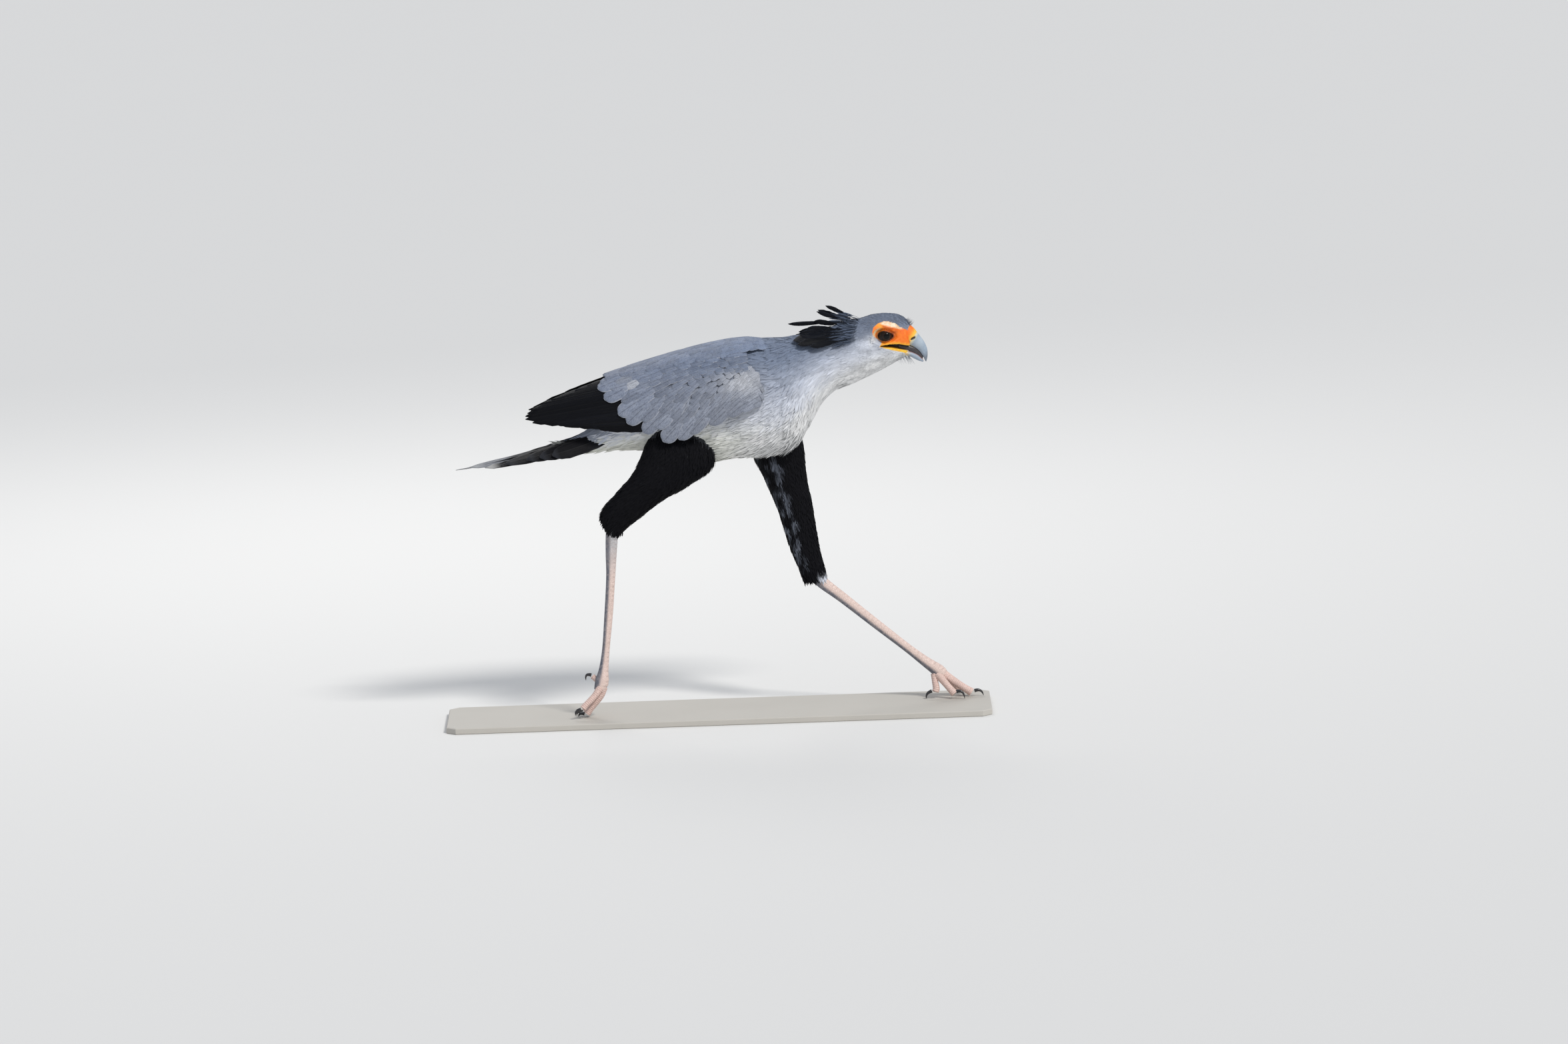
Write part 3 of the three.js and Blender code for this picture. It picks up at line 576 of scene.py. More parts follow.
class Tree(Nodes):
    """Makes a material with one principled shader."""

    def __init__(self, name):
        self.material = bpy.data.materials.new(name)
        self.material.use_nodes = True
        super().__init__(self.material.node_tree)
        self.nodes.clear()
        self.shader = self.node("ShaderNodeBsdfPrincipled")
        output = self.node("ShaderNodeOutputMaterial")
        self.links.new(self.shader.outputs[0], output.inputs["Surface"])

    def value(self, socket):
        return Value(self, socket)

    def number(self, name):
        return self.value(self.node("ShaderNodeAttribute", {"attribute_name": name}).outputs["Fac"])

    def colour(self, name):
        return self.node("ShaderNodeAttribute", {"attribute_name": name}).outputs["Color"]

    def place(self):
        return self.node("ShaderNodeTexCoord").outputs["Object"]

    def blade(self):
        """Places across and along a feather's blade, each from 0 to 1."""
        place = self.node("ShaderNodeUVMap", {"uv_map": "blade"}).outputs["UV"]
        split = self.node("ShaderNodeSeparateXYZ", None, Vector=place)
        return self.value(split.outputs["X"]), self.value(split.outputs["Y"])

    def noise(self, scale, detail=3.0, rough=0.55, where=None):
        made = self.node("ShaderNodeTexNoise", None, Vector=where or self.place(), Scale=scale, Detail=detail,
                         Roughness=rough)
        return self.value(made.outputs["Fac"])

    def mix(self, share, a, b, kind="MIX"):
        made = self.node("ShaderNodeMix", {"data_type": "RGBA", "blend_type": kind, "clamp_factor": True})
        for number, value in ((0, share), (6, rgba(a)), (7, rgba(b))):
            self.feed(made.inputs[number], value)
        return made.outputs[2]

    def bump(self, height, distance, strength):
        made = self.node("ShaderNodeBump", None, Height=height, Distance=distance, Strength=strength)
        return made.outputs["Normal"]

    def finish(self, colour, roughness, normal=None, **constant):
        self.feed(self.shader.inputs["Base Color"], rgba(colour))
        self.feed(self.shader.inputs["Roughness"], roughness)
        if normal is not None:
            self.feed(self.shader.inputs["Normal"], normal)
        for key, value in constant.items():
            self.shader.inputs[key.replace("_", " ")].default_value = value
        return self.material


class Value:
    """A number on a socket, so that shader maths reads as an expression."""

    def __init__(self, tree, socket):
        self.tree = tree
        self.socket = socket

    def math(self, operation, *others):
        made = self.tree.node("ShaderNodeMath", {"operation": operation})
        for socket, value in zip(made.inputs, (self, *others)):
            self.tree.feed(socket, value)
        return Value(self.tree, made.outputs[0])

    def __add__(self, other):
        return self.math("ADD", other)

    __radd__ = __add__

    def __mul__(self, other):
        return self.math("MULTIPLY", other)

    __rmul__ = __mul__

    def __sub__(self, other):
        return self.math("SUBTRACT", other)

    def __rsub__(self, other):
        return (self * -1) + other

    def step(self, low, high):
        made = self.tree.node("ShaderNodeMapRange", {"interpolation_type": "SMOOTHSTEP"}, Value=self)
        made.inputs["From Min"].default_value = low
        made.inputs["From Max"].default_value = high
        return Value(self.tree, made.outputs["Result"])


def coat_material(name, shine, barbs, gleam):
    """Feathers of the coat: their own tint, darker at the root as painted shade, with painted glints and with
    barbs that run out from the shaft.
    """
    t = Tree(name)
    across, along = t.blade()
    across = (across - 0.5).math("ABSOLUTE")
    lines = ((along * 2.0 - across * 1.3) * barbs).math("SINE")
    shaft = 1 - across.step(0.02, 0.06)
    fleck = t.noise(900, 2).step(0.35, 0.7)
    # painted shade: each tuft darker toward its root
    shade = t.mix(along.step(0.0, 0.65), (0.9, 0.9, 0.9), (1, 1, 1))
    tint = t.mix(1.0, t.colour("tint"), shade, "MULTIPLY")
    # painted glints: pale specks, as strong as gleam, a little less rough there
    tint = t.mix(fleck * gleam, tint, (0.9, 0.92, 0.95))
    tint = t.mix(shaft * 0.10, tint, (0.05, 0.055, 0.07))
    normal = t.bump(lines * 0.4 + shaft * 0.6, 0.0003, 0.4)
    return t.finish(tint, 0.62 - fleck * 0.1, normal, Specular_IOR_Level=shine)


def vane_material(name, edge, edge_colour, shaft, shaft_colour, gloss, worn=0.05):
    """Wing, tail and crest feathers: tint, pale worn edge, dark shaft, barbs slanting out to the edge."""
    t = Tree(name)
    across, along = t.blade()
    across = (across - 0.5).math("ABSOLUTE") * 2.0
    rim = across.math("MAXIMUM", along.step(0.88, 1.0) * 0.98).step(0.80, 1.0)
    way = along * 3.0 - across
    lines = (way * 90.0).math("SINE")
    quill = 1 - across.step(0.015, 0.06)
    slant = t.node("ShaderNodeCombineXYZ", None, X=way, Y=across * 0.6).outputs[0]
    streak = t.noise(9.0, 4, where=slant)
    shade = t.mix(streak.step(0.3, 0.7), (0.72, 0.72, 0.74), (1.18, 1.18, 1.18))
    tint = t.mix(1.0, t.colour("tint"), shade, "MULTIPLY")
    tint = t.mix(t.noise(95, 3).step(0.4, 0.7) * worn, tint, (0.85, 0.87, 0.9))
    tint = t.mix(rim * edge, tint, edge_colour)
    tint = t.mix(quill * shaft, tint, shaft_colour)
    normal = t.bump(lines * 0.3 + quill * 1.2 + streak, 0.0004, 0.6)
    return t.finish(tint, 0.58 - streak * 0.15, normal, Specular_IOR_Level=gloss)


def skin_material():
    """The body's skin: down between the feathers, and the bare orange face with its fine wrinkles."""
    t = Tree("bare_skin")
    face = t.number("face")
    warts = t.noise(1500, 3, 0.6)
    cells = t.node("ShaderNodeTexVoronoi", {"feature": "DISTANCE_TO_EDGE"}, Scale=620.0, Vector=t.place())
    folds = t.value(cells.outputs["Distance"])
    blotch = t.noise(170, 4, 0.65).step(0.42, 0.66)
    flesh = t.mix(warts.step(0.35, 0.7) * 0.4, t.colour("flesh"), (0.98, 0.62, 0.2), "SOFT_LIGHT")
    flesh = t.mix(1.0, flesh, t.mix(blotch * 0.8, (1, 1, 1), (0.95, 0.6, 0.35)), "MULTIPLY")
    down = t.mix(t.noise(700, 3).step(0.3, 0.7) * 0.25, t.colour("tint"), (0.1, 0.12, 0.15))
    colour = t.mix(face, down, flesh)
    normal = t.bump(folds.step(0.0, 0.25) * 0.5 + warts * 0.8, 0.0005, 0.55)
    return t.finish(colour, 0.75 - face * 0.3, normal, Subsurface_Weight=0.08, Subsurface_Scale=0.003,
                    Subsurface_Radius=(1.0, 0.35, 0.15))


def horn_material():
    """Blue-grey horn with growth lines, warm and yellow along the cere and the mouth's edge."""
    t = Tree("horn")
    grain = t.noise(260, 4, 0.6)
    tint = t.mix(grain.step(0.25, 0.75) * 0.14, t.colour("tint"), (0.75, 0.8, 0.86))
    scuff = t.noise(1400, 2)
    normal = t.bump(grain + scuff * 0.3, 0.00025, 0.5)
    return t.finish(tint, 0.3 + grain * 0.18, normal, Coat_Weight=0.15, Coat_Roughness=0.2)


def leg_material():
    """Pinkish scaled skin, grey-blue behind, with scales drawn by their edges."""
    t = Tree("leg_scales")
    stretched = t.node("ShaderNodeMapping", None, Vector=t.place(), Scale=(1.0, 1.0, 0.8)).outputs[0]
    cells = t.node("ShaderNodeTexVoronoi", {"feature": "DISTANCE_TO_EDGE"}, Scale=270.0, Vector=stretched)
    tone = t.node("ShaderNodeTexVoronoi", {"feature": "F1"}, Scale=270.0, Vector=stretched)
    edge = 1 - t.value(cells.outputs["Distance"]).step(0.02, 0.13)
    seam = t.number("seam")
    split = t.node("ShaderNodeSeparateXYZ", None, Vector=tone.outputs["Color"])
    own = t.value(split.outputs["X"])
    dirt = t.noise(60, 4).step(0.45, 0.75)
    tint = t.mix(own * 0.2, t.colour("tint"), (0.86, 0.74, 0.68))
    tint = t.mix(edge * 0.22, tint, (0.3, 0.2, 0.19))
    tint = t.mix(seam * 0.4, tint, (0.25, 0.17, 0.16))
    tint = t.mix(dirt * 0.18, tint, (0.33, 0.25, 0.2))
    normal = t.bump((1 - edge) * 0.6 + (1 - seam) * 0.8 + own * 0.3, 0.0005, 0.7)
    return t.finish(tint, 0.5 + own * 0.15, normal, Specular_IOR_Level=0.4)


def claw_material():
    """Near-black horn with a pale grain."""
    t = Tree("claw_horn")
    grain = t.noise(400, 4, 0.6)
    tint = t.mix(grain.step(0.4, 0.8) * 0.5, (0.014, 0.014, 0.018), (0.09, 0.085, 0.085))
    return t.finish(tint, 0.22 + grain * 0.2, t.bump(grain, 0.0002, 0.4), Coat_Weight=0.2)


def eye_material():
    """A dark brown iris round a wide black pupil, under a wet surface."""
    t = Tree("eyeball")
    ring = t.number("ring")
    fibre = t.noise(900, 3)
    iris = t.mix(fibre, (0.008, 0.004, 0.0025), (0.028, 0.013, 0.007))
    tint = t.mix(ring.step(0.50, 0.56), (0.001, 0.001, 0.001), iris)
    tint = t.mix(ring.step(0.74, 0.86), tint, (0.012, 0.008, 0.006))
    return t.finish(tint, 0.12, None, Coat_Weight=0.15, Coat_Roughness=0.02, Specular_IOR_Level=0.15)


def bristle_material(name, colour, rough):
    """One dull colour, for bristles and for the painted shade inside the mouth."""
    t = Tree(name)
    tint = t.mix(t.noise(600, 2) * 0.4, colour, (0.2, 0.2, 0.22))
    return t.finish(tint, rough)


def base_material():
    """A painted board: even pale stone colour with a faint orange-peel surface."""
    t = Tree("board_paint")
    peel = t.noise(650, 3)
    cloud = t.noise(6, 4)
    tint = t.mix(cloud.step(0.3, 0.7) * 0.35, (0.47, 0.45, 0.41), (0.53, 0.51, 0.47))
    return t.finish(tint, 0.55 + cloud * 0.12, t.bump(peel, 0.0003, 0.25))


def floor_material():
    """Plain pale floor."""
    t = Tree("studio_floor")
    return t.finish(t.mix(t.noise(1.5, 2) * 0.2, (0.72, 0.72, 0.71), (0.70, 0.70, 0.69)), 0.8)


def lid_shape(side_points):
    """How far points in the side view lie from the eye's middle, in units of the lid opening."""
    wide, high, tilt = LID_OPENING
    c, s = math.cos(math.radians(tilt)), math.sin(math.radians(tilt))
    u = (side_points[:, 0] - EYE.x) * c + (side_points[:, 1] - EYE.z) * s
    v = -(side_points[:, 0] - EYE.x) * s + (side_points[:, 1] - EYE.z) * c
    return np.hypot(u / wide, v / (high * (1 - 0.012 * u)))


def mouth_depth(side_points):
    """How deep points in the side view lie within the open mouth: 0 outside, 1 well inside."""
    x, z = side_points.T
    top = np.interp(x, *zip(*MOUTH_TOP))
    low = np.interp(x, *zip(*MOUTH_BOTTOM))
    inside = np.minimum(top - z, z - low)
    return smooth(-0.9, 1.1, inside) * smooth(MOUTH_TOP[0][0] - 1, MOUTH_TOP[0][0] + 2, x)


def shape_head(p):
    """Draws the eye sockets, lids, brows, cheeks and mouth in the head's points."""
    side = np.sign(p[:, 1])
    y = np.abs(p[:, 1])
    flat = p[:, [0, 2]]
    x, z = flat.T
    for (at, reach, height), level in ((BROW, z - BROW_SLOPE * (x - BROW[0][0])), (CHEEK, z), (LORE, z)):
        y = y + height * near_spot(x, level, at, reach) * (y > MIDDLE_STRIP)
    lids = lid_shape(flat)
    away = (x - EYE.x) ** 2 + (z - EYE.z) ** 2
    ball = EYE.y + np.sqrt(np.maximum(EYE_RADIUS**2 - away, 4))
    lid = ball + 1.5 * near_line(lids, 1.14, 0.16)
    lid = np.where(lids < 1.0, ball - 2.2 - 4 * (1 - lids), lid)
    share = (1 - smooth(1.25, 1.95, lids)) * (y > MIDDLE_STRIP)
    y = y * (1 - share) + lid * share
    y = y - 0.9 * near_line(lids, 1.42, 0.07) * (y > MIDDLE_STRIP)
    bill = LOWER_BILL[:4]
    jaw = np.interp(x, [row[0] for row in bill], [row[5] for row in bill]) + 1.2
    low = np.interp(x, *zip(*MOUTH_BOTTOM))
    pinch = smooth(362, 392, x) * (1 - smooth(low, low + 2, z))
    y = np.where(y > jaw, y * (1 - pinch) + jaw * pinch, y)
    y = y * (1 - 0.72 * mouth_depth(flat))
    return np.stack([x, side * y, z], axis=1)


def grain(x, y, z):
    """Random numbers from -1 to 1 that drift evenly from place to place."""
    return np.array([noise.noise(Vector(at)) for at in zip(x, y, z)])


def trunk_tints(p):
    """The trunk coat's tint: slate crown, nape and back, pearl cheek and breast, cream below."""
    x, y, z = p.T
    up = (z - np.interp(x, *zip(*SPINE))) / np.interp(x, *zip(*SPINE_REACH))
    belly = 1 - smooth(-0.75, -0.15, up)
    tint = blend(PEARL, ASH, smooth(-0.3, 0.3, up))
    tint = blend(tint, SLATE, smooth(0.1, 0.75, up) * smooth(-200, -100, x))
    tint = blend(tint, WHITE, belly * 0.75)
    tint = blend(tint, CREAM, belly * (1 - smooth(20, 150, x)))
    tint = blend(tint, CROWN, smooth(0.5, 0.8, up) * smooth(285, 320, x))
    for colour, at, reach, strength in HEAD_PATCHES:
        tint = blend(tint, colour, near_spot(x, z, at, reach) * strength)
    streak = grain(x * 0.022 + z * 0.01, y * 0.11, z * 0.11)
    fine = grain(x * 0.06, y * 0.35 + 9, z * 0.35)
    calm = 1 - 0.6 * smooth(0.1, 0.5, up)
    return np.clip(tint * (1 + calm * (0.30 * streak + 0.18 * fine))[:, None], 0, 0.86)


def face_colours(p):
    """Bare skin: strong orange before the eye, yellow at the gape and lids, whitish over the brow, with painted
    shade in the creases, before the eye and in the mouth.
    """
    x, _, z = p.T
    flat = p[:, [0, 2]]
    top = np.interp(x, *zip(*MOUTH_TOP))
    low = np.interp(x, *zip(*MOUTH_BOTTOM))
    brow = z - np.interp(x, *zip(*BROW_LINE))
    lids = lid_shape(flat)
    colour = np.tile(FACE_ORANGE, (len(p), 1))
    for tint, share in (
        (AMBER, 1 - smooth(2, 9, z - top)),
        (AMBER, near_line(x, 343, 9) * 0.8),
        (YELLOW, 1 - smooth(0.5, 3.2, z - top)),
        ((0.86, 0.76, 0.60), smooth(0, 3.5, brow) * smooth(340, 349, x) * (1 - smooth(383, 392, x)) * 0.95),
        # painted shade in the crease along the brow line
        (CREASE_SHADE, near_line(brow, -1.2, 0.9) * smooth(346, 352, x) * (1 - smooth(366, 374, x)) * 0.75),
        ((0.85, 0.80, 0.55), near_line(lids, 1.62, 0.16) * (1 - smooth(338, 350, x))),
        # painted shade in the crease round the lids
        (CREASE_SHADE, near_line(lids, 1.30, 0.10) * 0.55),
        (LID_BLACK, near_line(lids, 1.04, 0.17)),
        # painted shade in the hollow before the eye
        ((0.35, 0.07, 0.01), near_spot(x, z, (374, 759), (5, 3.5)) * 0.6),
        (YELLOW, 1 - smooth(low - 0.8, low + 0.2, z)),
        # painted shade deep in the open mouth
        (MOUTH_SHADE, mouth_depth(flat)),
    ):
        colour = blend(colour, tint, share)
    return colour


def make_skin():
    """One skin over trunk and thighs, with the values that the coat and its material read."""
    rows = np.concatenate([np.linspace(0, HEAD_ROW, 100)[:-1], np.linspace(HEAD_ROW, len(TRUNK) - 1, 210)])
    sides = 240
    head = smooth(HEAD_ROW, HEAD_ROW + 2, rows)[:, None, None]
    body = ring_points(TRUNK, rows, sides, COAT_DEPTH)
    rings = body * (1 - head) + ring_points(TRUNK, rows, sides, FACE_DEPTH) * head
    shaped = shape_head(rings.reshape(-1, 3)).reshape(rings.shape)
    parts = [lofted("skin", shaped, (0.02, 0.02, 0.5, 0.94))]
    for name, table, left in (("near", NEAR_THIGH, 0.55), ("far", FAR_THIGH, 0.78)):
        thigh = ring_points(table, rows_of(table, 60), 48, COAT_DEPTH)
        parts.append(lofted(f"skin_{name}", thigh, (left, 0.02, 0.2, 0.94)))
    for part, table in zip(parts, (TRUNK, NEAR_THIGH, FAR_THIGH)):
        dress_skin(part, table)
    skin = joined(parts, "skin")
    skin.data.materials.append(skin_material())
    return skin


def dress_skin(made, table):
    """Stores on a skin what its coat and its material read."""
    p = read_points(made)
    ax, az, bx, bz, y, _ = spline(table, rows_of(table, AXIS_STEPS)).T
    axis = np.stack([(ax + bx) / 2, y, (az + bz) / 2], axis=1)
    way = np.gradient(axis, axis=0)
    way /= np.linalg.norm(way, axis=1)[:, None]
    near = np.array([np.argmin(((axis - q) ** 2).sum(axis=1)) for q in p])
    if table is TRUNK:
        values = trunk_coat(p, -way[near])
    else:
        values = thigh_coat(p, way[near], near / (AXIS_STEPS - 1), p[:, 0] - axis[near][:, 0])
    values["lie"] = values["lie"] / np.linalg.norm(values["lie"], axis=1)[:, None]
    for name, value in values.items():
        set_values(made, name, value)


def trunk_coat(p, lie):
    """The coat of trunk and head: drooping over the breast, short on the head and absent from the face."""
    x, y, z = p.T
    flat = p[:, [0, 2]]
    droop = near_line(x, 190, 60) * smooth(0, -60, z - 690)
    inside = inside_distance(flat, FACE)
    face = smooth(-0.7, 0.7, inside) * (np.abs(y) > 9)
    face = np.maximum(face, mouth_depth(flat) * (x > 340))
    head = smooth(262, 330, x)
    length = 17 - 9.5 * head + 5 * (1 - smooth(540, 580, z)) * (1 - head)
    length = np.where(x > 300, length - 2.5 * near_line(inside, 0, 12), length)
    under_bill = (x > 404) | ((x > 392) & (z < 729))
    return {
        "lie": lie + np.outer(droop, (0, 0, -0.9)),
        "long": length * MM,
        "face": face,
        "cover": np.where(under_bill, 0, 1 - smooth(0.15, 0.5, face)),
        "tint": trunk_tints(p),
        "flesh": face_colours(p),
        "thigh": np.zeros(len(p)),
    }


def thigh_coat(p, lie, along, ahead):
    """The black coat of a thigh, the far one flecked with grey behind and pale at the front of its ankle."""
    x, y, z = p.T
    mottle = grain(x * 0.10, y * 0.12, z * 0.035)
    fleck = smooth(0.12, 0.5, mottle) * smooth(-2, 10, -ahead) * (y > 0)
    ankle = smooth(0.90, 0.97, along) * smooth(3, 9, ahead) * (y > 0)
    return {
        "lie": lie,
        "long": np.full(len(p), 20.0) * MM,
        "face": np.zeros(len(p)),
        "cover": np.ones(len(p)),
        "tint": blend(blend(BLACK, ASH, fleck * 0.42), PEARL, ankle),
        "flesh": np.tile(BLACK, (len(p), 1)),
        "thigh": np.ones(len(p)),
    }


def tuft(name, half_width, rings, lift, curl, thickness):
    """A closed feather of length 1 along +Y, widest past its middle, that rises off the skin and curls back.

    Its side edges are sharp, so that its face is shaded flat and a coat of them looks smooth.
    """
    shares = np.linspace(0, 1, rings + 2)
    points = [(0, 0, -0.05)]
    marks = [(0.5, 0)]
    for t in shares[1:-1]:
        half = half_width * math.sin(math.pi * min(t, 0.98) ** 1.25) ** 0.7
        rise = lift * t - curl * t * t
        points += [(-half, t, rise), (0, t, rise + thickness), (half, t, rise)]
        marks += [(0, t), (0.5, t), (1, t)]
    points.append((0, 1, lift - curl))
    marks.append((0.5, 1))
    faces = []
    for j in range(3):
        k = (j + 1) % 3
        faces.append((0, 1 + k, 1 + j))
        for i in range(rings - 1):
            a = 1 + 3 * i
            faces.append((a + j, a + k, a + 3 + k, a + 3 + j))
        a = 1 + 3 * (rings - 1)
        faces.append((a + j, a + k, len(points) - 1))
    bm = bmesh.new()
    verts = [bm.verts.new(q) for q in points]
    uv = bm.loops.layers.uv.new("blade")
    for f in faces:
        face = bm.faces.new([verts[v] for v in f])
        face.smooth = True
        for loop, v in zip(face.loops, f):
            loop[uv].uv = marks[v]
    bmesh.ops.recalc_face_normals(bm, faces=bm.faces)
    for edge in bm.edges:
        edge.smooth = edge.calc_face_angle(0) < 1.3
    mesh = bpy.data.meshes.new(name)
    bm.to_mesh(mesh)
    bm.free()
    return bpy.data.objects.new(name, mesh)


class Growth(Nodes):
    """Makes a Geometry Nodes tree with named inputs."""

    def __init__(self, name, inputs):
        self.group = bpy.data.node_groups.new(name, "GeometryNodeTree")
        super().__init__(self.group)
        face = self.group.interface
        face.new_socket("Geometry", in_out="INPUT", socket_type="NodeSocketGeometry")
        self.ids = {}
        for key, kind in inputs.items():
            self.ids[key] = face.new_socket(key, in_out="INPUT", socket_type=kind).identifier
        face.new_socket("Geometry", in_out="OUTPUT", socket_type="NodeSocketGeometry")
        self.start = self.nodes.new("NodeGroupInput").outputs
        self.end = self.nodes.new("NodeGroupOutput").inputs

    def named(self, name, kind="FLOAT_VECTOR"):
        made = self.node("GeometryNodeInputNamedAttribute", {"data_type": kind}, Name=name)
        return made.outputs["Attribute"]

    def store(self, geometry, name, value, kind, domain):
        made = self.node("GeometryNodeStoreNamedAttribute", {"data_type": kind, "domain": domain},
                         Geometry=geometry, Name=name, Value=value)
        return made.outputs[0]

    def maths(self, operation, a, b):
        return self.node("ShaderNodeMath", {"operation": operation}, i0=a, i1=b).outputs[0]

    def times(self, *values):
        product = values[0]
        for value in values[1:]:
            product = self.maths("MULTIPLY", product, value)
        return product

    def vector(self, operation, a, **more):
        return self.node("ShaderNodeVectorMath", {"operation": operation}, i0=a, **more).outputs[0]

    def random(self, low, high, seed):
        made = self.node("FunctionNodeRandomValue", {"data_type": "FLOAT"}, i2=low, i3=high, Seed=seed)
        return made.outputs[1]


def coat_tree():
    """Scatters tufts evenly over a skin, along the coat's lie, sized and tinted by the skin's values."""
    g = Growth("coat", {
        "Tuft": "NodeSocketObject", "Spacing": "NodeSocketFloat", "Zone": "NodeSocketString",
        "Scale": "NodeSocketFloat", "Width": "NodeSocketFloat", "Tilt": "NodeSocketFloat",
        "Seed": "NodeSocketInt", "Finish": "NodeSocketMaterial",
    })
    start = g.start
    scatter = g.node(
        "GeometryNodeDistributePointsOnFaces", {"distribute_method": "POISSON"}, Mesh=start["Geometry"],
        Distance_Min=g.times(start["Spacing"], 0.7), Seed=start["Seed"],
        Density_Max=g.maths("DIVIDE", 1.0, g.times(start["Spacing"], start["Spacing"])),
        Density_Factor=g.named(start["Zone"], "FLOAT"),
    )
    rooted = g.store(scatter.outputs["Points"], "root", g.named("OFBake"), "FLOAT_VECTOR", "POINT")
    upright = g.node("FunctionNodeAlignRotationToVector", {"axis": "Z"}, Vector=scatter.outputs["Normal"])
    laid = g.node("FunctionNodeAlignRotationToVector", {"axis": "Y", "pivot_axis": "Z"},
                  Rotation=upright.outputs[0], Vector=g.named("lie"))
    swing = g.node("ShaderNodeCombineXYZ", None, X=g.random(-0.03, 0.06, 3), Y=g.random(-0.16, 0.16, 5),
                   Z=g.times(g.random(-1.0, 1.0, 7), start["Tilt"]))
    turned = g.node("FunctionNodeRotateRotation", {"rotation_space": "LOCAL"},
                    i0=laid.outputs[0], i1=swing.outputs[0])
    length = g.times(g.named("long", "FLOAT"), start["Scale"], g.random(0.72, 1.25, 11))
    broad = g.times(length, g.times(start["Width"], g.random(0.8, 1.25, 13)))
    size = g.node("ShaderNodeCombineXYZ", None, X=broad, Y=length, Z=length)
    shape = g.node("GeometryNodeObjectInfo", None, Object=start["Tuft"]).outputs["Geometry"]
    planted = g.node("GeometryNodeInstanceOnPoints", None, Points=rooted, Instance=shape,
                     Rotation=turned.outputs[0], Scale=size.outputs[0])
    toned = g.store(planted.outputs[0], "tone", g.random(-1.0, 1.0, 17), "FLOAT", "INSTANCE")
    real = g.node("GeometryNodeRealizeInstances", None, Geometry=toned)
    patch = g.vector("SCALE", g.named("blade"), Scale=PATCH)
    spot = g.vector("ADD", g.named("root"), i1=patch)
    mapped = g.store(real.outputs[0], "OFBake", spot, "FLOAT2", "CORNER")
    done = g.node("GeometryNodeSetMaterial", None, Geometry=mapped, Material=start["Finish"])
    g.links.new(done.outputs[0], g.end["Geometry"])
    return g


def grow(tree, skin, name, **values):
    """Runs the coat tree over a skin and returns its result as a plain mesh object."""
    modifier = skin.modifiers.new("coat", "NODES")
    modifier.node_group = tree.group
    for key, value in values.items():
        modifier[tree.ids[key]] = value
    skin.update_tag()
    graph = bpy.context.evaluated_depsgraph_get()
    mesh = bpy.data.meshes.new_from_object(skin.evaluated_get(graph))
    skin.modifiers.remove(modifier)
    mesh.name = name
    made = place(name, mesh)
    vary_tint(made)
    return made


def vary_tint(made):
    """Lightens and darkens each tuft by its own tone."""
    tone = read_numbers(made, "tone")
    tint = made.data.attributes["tint"]
    colour = np.empty(len(tone) * 4)
    tint.data.foreach_get("color", colour)
    colour = colour.reshape(-1, 4)
    colour[:, :3] = np.clip(colour[:, :3] * (1 + 0.09 * tone[:, None]), 0, 1)
    tint.data.foreach_set("color", colour.ravel())


def make_coat(skin):
    """The body's small feathers, in pieces by region."""
    x, y, z = read_points(skin).T
    thigh = read_numbers(skin, "thigh")
    body = read_numbers(skin, "cover") * (1 - thigh)
    thigh = thigh * (np.abs(y) > trunk_side(x, z) + 0.5)
    regions = {
        "head": body * (x > 286),
        "neck_upper": body * (x <= 286) * (x > 180) * (z > 690),
        "neck_lower": body * (x <= 286) * (x > 180) * (z <= 690),
        "breast": body * (x <= 180) * (x > 40) * (z <= 690),
        "mantle": body * (x <= 180) * (z > 690),
        "belly": body * (x <= 40) * (x > -150) * (z <= 600),
        "undertail": body * (x <= -150) * (x > -262) * ((x > -205) | (z < 580)),
        "near_thigh": thigh * (y < 0),
        "far_thigh": thigh * (y > 0),
    }
    for name, share in regions.items():
        set_values(skin, f"zone_{name}", share)
    tree = coat_tree()
    short = tuft("short_tuft", 0.13, 3, 0.075, 0.045, 0.012)
    silk = tuft("silk_tuft", 0.06, 3, 0.06, 0.038, 0.006)
    hair = tuft("hair_tuft", 0.055, 3, 0.20, 0.10, 0.016)
    soft = coat_material("coat_soft", 0.2, 70.0, 0.08)
    dark = coat_material("coat_black", 0.07, 60.0, 0.0)
    # For each piece: its tuft, the tufts' spacing in millimetres, their length, width and swing, the finish
    plan = {
        "head": (short, 1.45, 1.15, 1.0, 0.14, soft),
        "neck_upper": (silk, 1.6, 1.5, 1.0, 0.16, soft),
        "neck_lower": (silk, 1.8, 1.7, 0.95, 0.28, soft),
        "breast": (silk, 2.05, 1.85, 0.95, 0.34, soft),
        "mantle": (silk, 3.2, 1.5, 1.2, 0.1, soft),
        "belly": (silk, 2.4, 1.7, 1.0, 0.34, soft),
        "undertail": (silk, 2.4, 2.3, 0.9, 0.3, soft),
        "near_thigh": (hair, 2.0, 0.9, 1.1, 0.3, dark),
        "far_thigh": (hair, 2.1, 0.9, 1.1, 0.3, dark),
    }
    made = []
    for number, (name, (shape, spacing, scale, width, tilt, finish)) in enumerate(plan.items()):
        piece = grow(tree, skin, f"coat_{name}", Tuft=shape, Spacing=spacing * MM, Zone=f"zone_{name}",
                     Scale=scale, Width=width, Tilt=tilt, Seed=number + 1, Finish=finish)
        made.append(piece)
    return made


